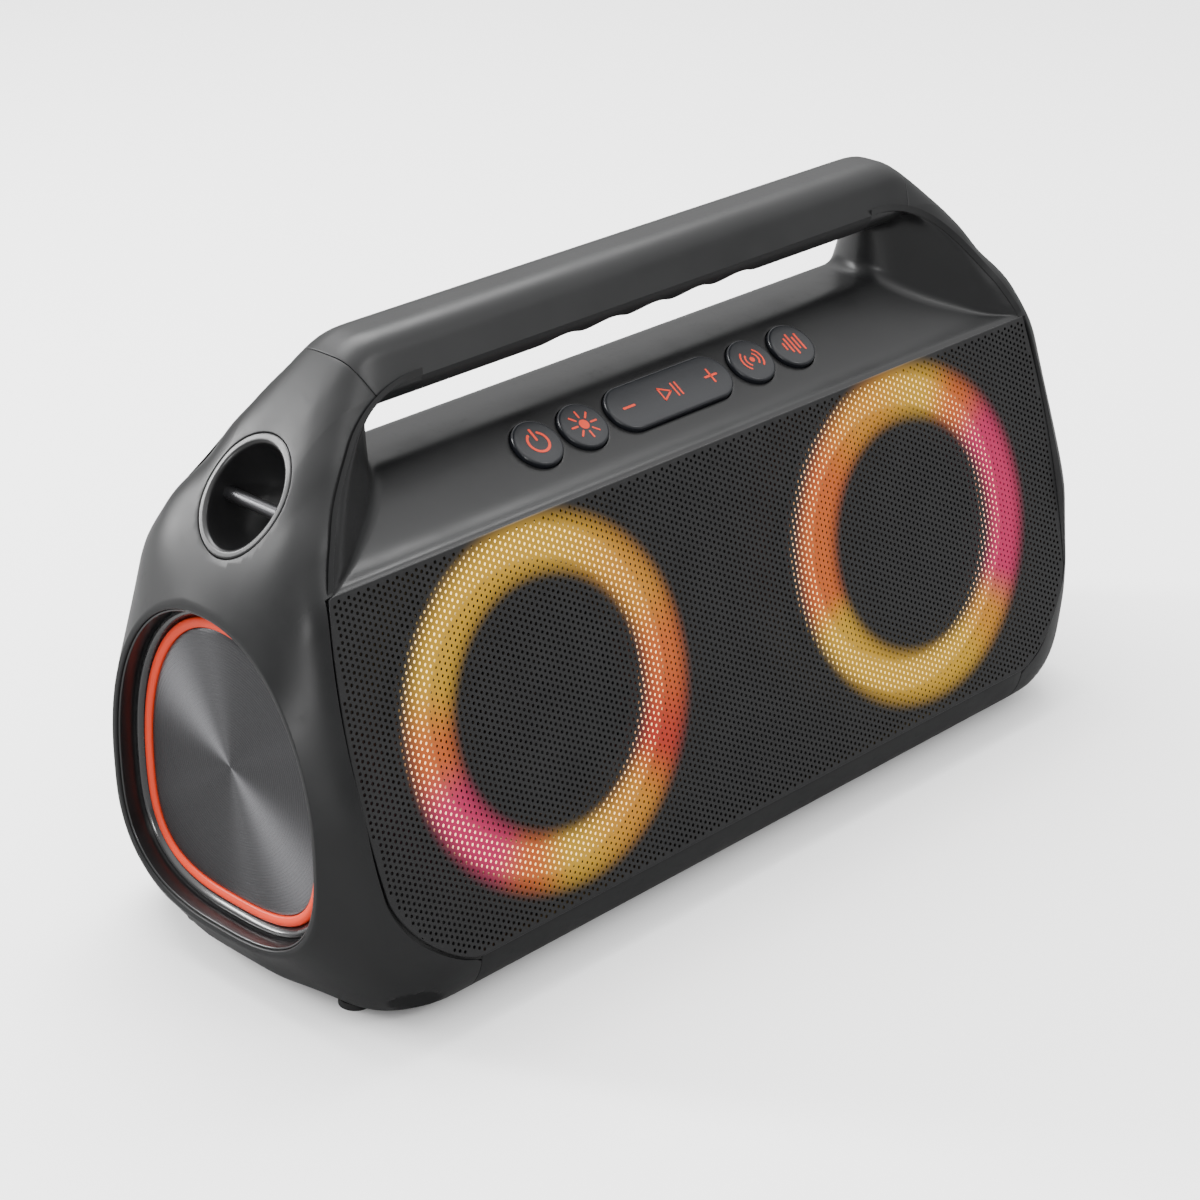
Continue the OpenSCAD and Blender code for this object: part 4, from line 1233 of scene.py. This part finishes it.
def radiator(side):
    tag = side_name(side)
    body = "radiator_" + tag
    trim_low, trim_high = box("radiator_trim_" + tag)
    floor = RIM_X - abs(trim_high[0] if side > 0 else trim_low[0])
    frame_profile = rounded_profile(
        [(0.15, 0.7), (0.9, 0.9), (1.1, floor - 1), (3.0, floor + 3.2), (1.2, floor + 7), (0.15, floor + 7)],
        0.6, 4,
    )
    mouth = swept("opening_frame_" + tag, side, frame_profile)
    place(mouth, "cabinet", "gloss_black", "radiator_frame_" + tag)
    # Rubber roll between frame and trim
    roll = []
    for k in range(15):
        t = k / 14
        roll.append((1.15 + 4.05 * t, floor + 0.7 + 1.2 * t - 2.3 * math.sin(math.pi * t) ** 0.9))
    under = [(5.2, floor + 2.9), (3.5, floor + 2.0), (1.9, floor + 2.9)]
    band = swept("rubber_surround_" + tag, side, roll + under)
    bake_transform(band)
    stretch(band, "gloss_rubber", "radiator_surround_" + tag)
    crest = [(5.25, floor + 0.2), (6.9, floor - 0.35), (8.8, floor + 0.25)]
    foot = [(8.8, floor + 3.2), (5.25, floor + 3.2)]
    trim = swept("trim_ring_" + tag, side, rounded_profile(crest + foot, 0.7, 5))
    place(trim, body, "accent_plastic", "radiator_trim_" + tag)
    face_plate(side, floor)


def face_plate(side, floor):
    """Slightly dished metal plate with turned rings and a rolled rim."""
    tag = side_name(side)
    centre = middle("radiator_plate_" + tag)
    edge = rim_loop(8.95, 0.0)[:, 1:]
    shares = [0.0, 0.06, 0.12, 0.2, 0.3, 0.4, 0.5, 0.6, 0.7, 0.8, 0.88, 0.94, 0.965, 0.985, 0.997, 1.0]
    depths = [0.9, 0.9, 0.89, 0.87, 0.84, 0.8, 0.75, 0.69, 0.62, 0.54, 0.47, 0.42, 0.42, 0.5, 0.75, 1.1]
    rows = []
    for share, depth in zip(shares, depths):
        flat = centre[1:] + (edge - centre[1:]) * max(share, 0.004)
        x = np.full(len(flat), RIM_X - floor - depth - 0.2)
        rows.append(np.stack([x, flat[:, 0], flat[:, 1]], axis=-1))
    rows.append(rows[-1] - [2.2, 0, 0])
    shell = Shell()
    shell.grid(np.array(rows), wrap_cols=True)
    count = len(edge)
    first = rows[0].mean(axis=0)
    hub = np.concatenate([[first], rows[0]])
    shell.add(hub, [(0, 1 + k, 1 + (k + 1) % count) for k in range(count)])
    back = np.concatenate([[first - [2.8, 0, 0]], rows[-1]])
    shell.add(back, [(0, 1 + (k + 1) % count, 1 + k) for k in range(count)])
    node = "radiator_plate_" + tag
    finish_piece(shell, "radiator_face_" + tag, 40, "brushed_plate", node, "radiator_" + tag, side)


# ---- strap pockets


def strap_pocket(side):
    """Oval pocket with a flush band following the shoulder and a smooth bowl, and its bar."""
    tag = side_name(side)
    turn = np.linspace(0, 2 * math.pi, 120, endpoint=False)
    sideways = np.array([0, POCKET_SQUEEZE, 0])
    across = np.cos(turn)[:, None] * POCKET_DOWN + np.sin(turn)[:, None] * sideways
    seam = POCKET_SEAM_R - 0.15

    def level(radius):
        return drop_on_skin(POCKET + across * radius, POCKET_OUT)

    rows = [level(seam) - POCKET_OUT * 5]
    rows += [level(seam - 0.5 * c) - POCKET_OUT * 0.5 * (1 - s) for s, c in quarter(4)]
    rows += [level(radius) for radius in np.linspace(seam - 0.8, POCKET_LIP_R, 5)]
    lip = level(POCKET_LIP_R)
    rows += [lip - across * 1.5 * s - POCKET_OUT * 1.5 * c for s, c in quarter(6)[1:]]
    start = np.sum((rows[-1] - POCKET) * POCKET_OUT, axis=-1)
    floor = -21.0
    for k in range(1, 25):
        t = k / 24
        radius = (POCKET_LIP_R - 1.5) * math.cos(math.pi / 2 * t) ** 0.55 if t < 1 else 0.05
        drop = start * (1 - math.sin(math.pi / 2 * t)) + floor * math.sin(math.pi / 2 * t)
        rows.append(POCKET + across * radius + drop[:, None] * POCKET_OUT)
    shell = Shell()
    shell.grid(np.array(rows), wrap_cols=True)
    finish_piece(shell, "strap_pocket_" + tag, 45, "cup_plastic", "strap_cup_" + tag, side=side)
    low, high = box("strap_bar_" + tag)
    centre = (low + high) / 2
    half = (high[1] - low[1]) / 2
    end = [(0.01, -half), (2.2, -half), (2.6, -half + 0.4), (2.5, -half + 4)]
    bar = end + [(2.35, 0)] + [(r, -h) for r, h in reversed(end)]
    rod = turned("strap_rod_" + tag, bar, centre, np.array([0, 1.0, 0]), ACROSS, 40)
    place(rod, "cabinet", "bar_steel", "strap_bar_" + tag)


# ---- keys and icons


def flat_shape(points_2d, x0, height, thick=0.25):
    """A thin raised shape on top of a key, given as a closed outline in deck directions."""
    outline_2d = np.asarray(points_2d, float)
    base = DECK + np.array([x0, 0, 0])
    spread = outline_2d[:, :1] * ACROSS + outline_2d[:, 1:] * DECK_UP
    top = base + spread + DECK_OUT * height
    low = top - DECK_OUT * thick
    n = len(top)
    faces = [tuple(range(n))]
    faces += [(k, n + k, n + (k + 1) % n, (k + 1) % n) for k in range(n)]
    return np.concatenate([top, low]), faces


def band_shape(line, width):
    """Outline of a stroke with round ends along a line."""
    line = np.asarray(line, float)
    along = np.gradient(line, axis=0)
    along = unit(along)
    side = np.stack([-along[:, 1], along[:, 0]], axis=-1) * width / 2
    left, right = line + side, line - side

    def cap(centre, start):
        a = math.atan2(*(start - centre)[::-1])
        turn = [a - math.pi * k / 8 for k in range(1, 8)]
        return np.array([centre + width / 2 * np.array([math.cos(t), math.sin(t)]) for t in turn])

    return np.concatenate([left, cap(line[-1], left[-1]), right[::-1], cap(line[0], right[0])])


def stroke(a, b, width):
    middle_point = (np.add(a, b) / 2).tolist()
    return band_shape([a, middle_point, b], width)


def arc(radius, start, stop, count=28):
    t = np.radians(np.linspace(start, stop, count))
    return np.stack([radius * np.cos(t), radius * np.sin(t)], axis=-1)


def circle(radius, count=32):
    return arc(radius, 0, 360 * (count - 1) / count, count)


def power_icon():
    return [band_shape(arc(4.1, 122, 418), 1.0), band_shape([(0, 1.0), (0, 3), (0, 5.4)], 1.0)]


def light_icon():
    rays = [circle(2.0)]
    for k in range(8):
        a = math.pi / 4 * k
        d = np.array([math.cos(a), math.sin(a)])
        rays.append(band_shape([d * 3.2, d * 4.4, d * 5.7], 0.75))
    return rays


def wireless_icon():
    """A dot between two pairs of waves."""
    shapes = [circle(1.1)]
    for turn in (0, 180):
        shapes.append(band_shape(arc(2.9, turn - 48, turn + 48), 0.75))
        shapes.append(band_shape(arc(4.8, turn - 48, turn + 48), 0.75))
    return shapes


def bass_icon():
    """Level bars."""
    heights = enumerate((1.3, 3.0, 4.4, 2.4, 3.5))
    return [stroke((k * 2.0 - 4.0, -tall), (k * 2.0 - 4.0, tall), 0.95) for k, tall in heights]


def transport_icons(x):
    minus = stroke((-x - 2.6, 0), (-x + 2.6, 0), 0.9)
    plus = [stroke((x - 2.8, 0), (x + 2.8, 0), 0.9), stroke((x, -2.8), (x, 2.8), 0.9)]
    corners = [(-4.6, -2.7), (0.2, 0.0), (-4.6, 2.7), (-4.6, -2.7)]
    edges = [stroke(a, b, 0.7) for a, b in zip(corners[:-1], corners[1:])]
    bars = [stroke((p, -2.7), (p, 2.7), 0.8) for p in (2.2, 4.2)]
    return [minus] + plus + edges + bars


# How far the keys stand over the deck, and the rounding of their top edge
PROUD = 1.8
KEY_EDGE = 1.1


def key_body(half):
    """Rows of a key's skin from the skirt up over the rounded edge to the middle of its top."""
    turn = np.linspace(0, 2 * math.pi, 72, endpoint=False)
    shift = np.where(np.cos(turn) >= 0, half, -half)
    profile = [(0, -4.0)] + [(KEY_EDGE * c, PROUD - KEY_EDGE * (1 - s)) for s, c in quarter(8)]
    for share in (0.25, 0.5, 0.75, 0.99):
        profile.append((KEY_EDGE + (KEY_R - KEY_EDGE) * share, PROUD - 0.02))
    rows = []
    for inset, height in profile:
        a = shift + (KEY_R - inset) * np.cos(turn)
        b = (KEY_R - inset) * np.sin(turn)
        rows.append(DECK + a[:, None] * ACROSS + b[:, None] * DECK_UP + height * DECK_OUT)
    return np.array(rows)


def make_key(name, node, x0, half, icons):
    shell = Shell()
    rows = key_body(half) + np.array([x0, 0, 0])
    shell.grid(rows, wrap_cols=True)
    last = rows[-1]
    shell.add(last, [tuple(range(len(last)))])
    for shape in icons:
        points, faces = flat_shape(shape, x0, PROUD + 0.06)
        shell.add(points, faces)
    key = shell.build(name + "_key_cap", 40)
    place(key, name + "_key", "button_rubber", node)
    key.data.materials.append(PAINT["accent_plastic"])
    lift = (PROUD + 0.03) * MM
    for face in key.data.polygons:
        height = (face.center - Vector(DECK * MM)).dot(Vector(DECK_OUT))
        if height > lift:
            face.material_index = 1


def keys():
    icons = [power_icon(), light_icon(), wireless_icon(), bass_icon()]
    for (name, x), icon in zip(ROUND_KEYS.items(), icons):
        make_key(name, name + "_button", x, 0.0, icon)
    make_key("volume", "volume_play_key", 0.0, LONG_HALF, transport_icons(20.9))


# ---- drivers and lights


def turned_sheet(name, line, thick, centre, count):
    """A sheet of even thickness turned from a line of (radius, height) over the grille plane."""
    loop = line + [(r, h - thick) for r, h in reversed(line)]
    return turned(name, loop + loop[:1], centre, OUT, ACROSS, count)


def driver(side):
    tag = side_name(side)
    centre = GRILLE + np.array([side * DRIVER_X, 0, 0])
    cone_body = "driver_cone_" + tag
    guide = []
    inner, outer = GLOW_R - GLOW_WIDTH, GLOW_R + 8
    for k in range(17):
        t = k / 16
        guide.append((inner + (outer - inner) * t, -8.6 + 1.6 * math.sin(math.pi * t) ** 0.5))
    guide += [(outer - 1, -10.4), (inner + 1, -10.4)]
    ring = turned("light_ring_" + tag, guide + guide[:1], centre, OUT, ACROSS, 128)
    PAINT["light_guide"] = light_guide(side)
    place(ring, "cabinet", "light_guide", "led_ring_" + tag)
    cone = [(14.4, -25)] + [(14.4 + 21.6 * t, -25 + 14 * t**0.86) for t in np.linspace(0.08, 1, 12)]
    shown = turned_sheet("paper_cone_" + tag, cone, 0.8, centre, 96)
    place(shown, cone_body, "cone_paper", "woofer_cone_" + tag)
    dome = [(13.6 * s + 0.02, -17.2 - 5.4 * c) for s, c in quarter(11)]
    cap = turned_sheet("dust_dome_" + tag, dome, 0.6, centre, 64)
    place(cap, cone_body, "cone_paper", "dust_cap_" + tag)
    roll = [(35.4 + 7.2 * t, -10.8 + 3.0 * math.sin(math.pi * t)) for t in np.linspace(0, 1, 17)]
    surround = turned_sheet("cone_surround_" + tag, roll, 0.8, centre, 96)
    spread_between(surround, "gasket_rubber", "woofer_surround_" + tag)
    waves = [(13.5 + 14.5 * t, -34 + 0.7 * math.sin(2 * math.pi * 4 * t)) for t in np.linspace(0, 1, 49)]
    spider = turned_sheet("spider_" + tag + "_cloth", waves, 0.5, centre, 72)
    spread_between(spider, "spider_cloth", "spider_" + tag)


def spread_between(obj, slot, node):
    """Bakes a ring's placement into its mesh, paints it and hides the CAD node that it stands for."""
    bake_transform(obj)
    stretch(obj, slot, node)


# ---- room, light and camera

CAMERA_TURN = -45.695
CAMERA_RISE = 25.506
CAMERA_AWAY = 1.1087
CAMERA_LENS = 91.4
AIM = Vector((-0.0147, -0.0015, 0.0825))


def aimed(name, data, where, direction):
    """A camera or light that looks along a direction."""
    obj = new_object(name, data)
    obj.location = where
    obj.rotation_mode = "QUATERNION"
    obj.rotation_quaternion = direction.to_track_quat("-Z", "Y")
    return obj


def camera():
    data = bpy.data.cameras.new("camera")
    data.lens = CAMERA_LENS
    data.sensor_width = 36
    data.clip_start = 0.05
    a, e = math.radians(CAMERA_TURN), math.radians(CAMERA_RISE)
    back = Vector((math.sin(a) * math.cos(e), -math.cos(a) * math.cos(e), math.sin(e)))
    bpy.context.scene.camera = aimed("camera", data, AIM + back * CAMERA_AWAY, -back)


def floor():
    mesh = bpy.data.meshes.new("floor")
    reach = 6.0
    corners = [(-reach, -reach, 0), (reach, -reach, 0), (reach, reach, 0), (-reach, reach, 0)]
    mesh.from_pydata(corners, [], [(0, 1, 2, 3)])
    g = Graph("floor_paint")
    seen = g.node("ShaderNodeLightPath").outputs["Is Camera Ray"]
    tone = g.mix(seen, tinted((0.30, 0.30, 0.30)), tinted((0.96, 0.96, 0.96)))
    mesh.materials.append(g.base(tone, g.remap(g.noise(3), 0.3, 0.7, 0.85, 0.95), Specular_IOR_Level=0.1))
    new_object("floor", mesh)


def area_light(name, where, aim, size, power, size_y):
    data = bpy.data.lights.new(name, "AREA")
    data.shape = "RECTANGLE"
    data.size = size
    data.size_y = size_y
    data.energy = power
    aimed(name, data, where, Vector(aim) - Vector(where))


def studio():
    world = bpy.data.worlds.new("studio")
    bpy.context.scene.world = world
    world.use_nodes = True
    tree = world.node_tree
    background = tree.nodes["Background"]
    where = tree.nodes.new("ShaderNodeTexCoord")
    split = tree.nodes.new("ShaderNodeSeparateXYZ")
    height = tree.nodes.new("ShaderNodeMapRange")
    height.interpolation_type = "SMOOTHSTEP"
    tree.links.new(where.outputs["Generated"], split.inputs[0])
    tree.links.new(split.outputs["Z"], height.inputs["Value"])
    for key, number in (("From Min", 0.05), ("From Max", 0.95), ("To Min", 0.55), ("To Max", 2.6)):
        height.inputs[key].default_value = number
    background.inputs[0].default_value = (1, 1, 1, 1)
    tree.links.new(height.outputs[0], background.inputs[1])
    area_light("top_softbox", (0.2, 0.5, 1.4), (0, 0, 0.1), 1.5, 42, 0.7)
    area_light("end_strip", (-0.95, 1.35, 0.8), (-0.15, 0, 0.08), 0.25, 46, 1.1)
    area_light("end_low", (-1.7, -0.75, 0.3), (-0.15, 0, 0.08), 0.3, 11, 0.3)
    area_light("front_fill", (0.6, -1.5, 1.2), (0, 0, 0.1), 0.6, 10, 0.5)


# ---- put together


def main():
    make_paints()
    for side in (-1, 1):
        end_cap(side)
    handle_deck()
    handle_grip()
    base_pan()
    front_grille()
    for side in (-1, 1):
        radiator(side)
        strap_pocket(side)
        driver(side)
    keys()
    dress_all()
    floor()
    studio()
    camera()


main()
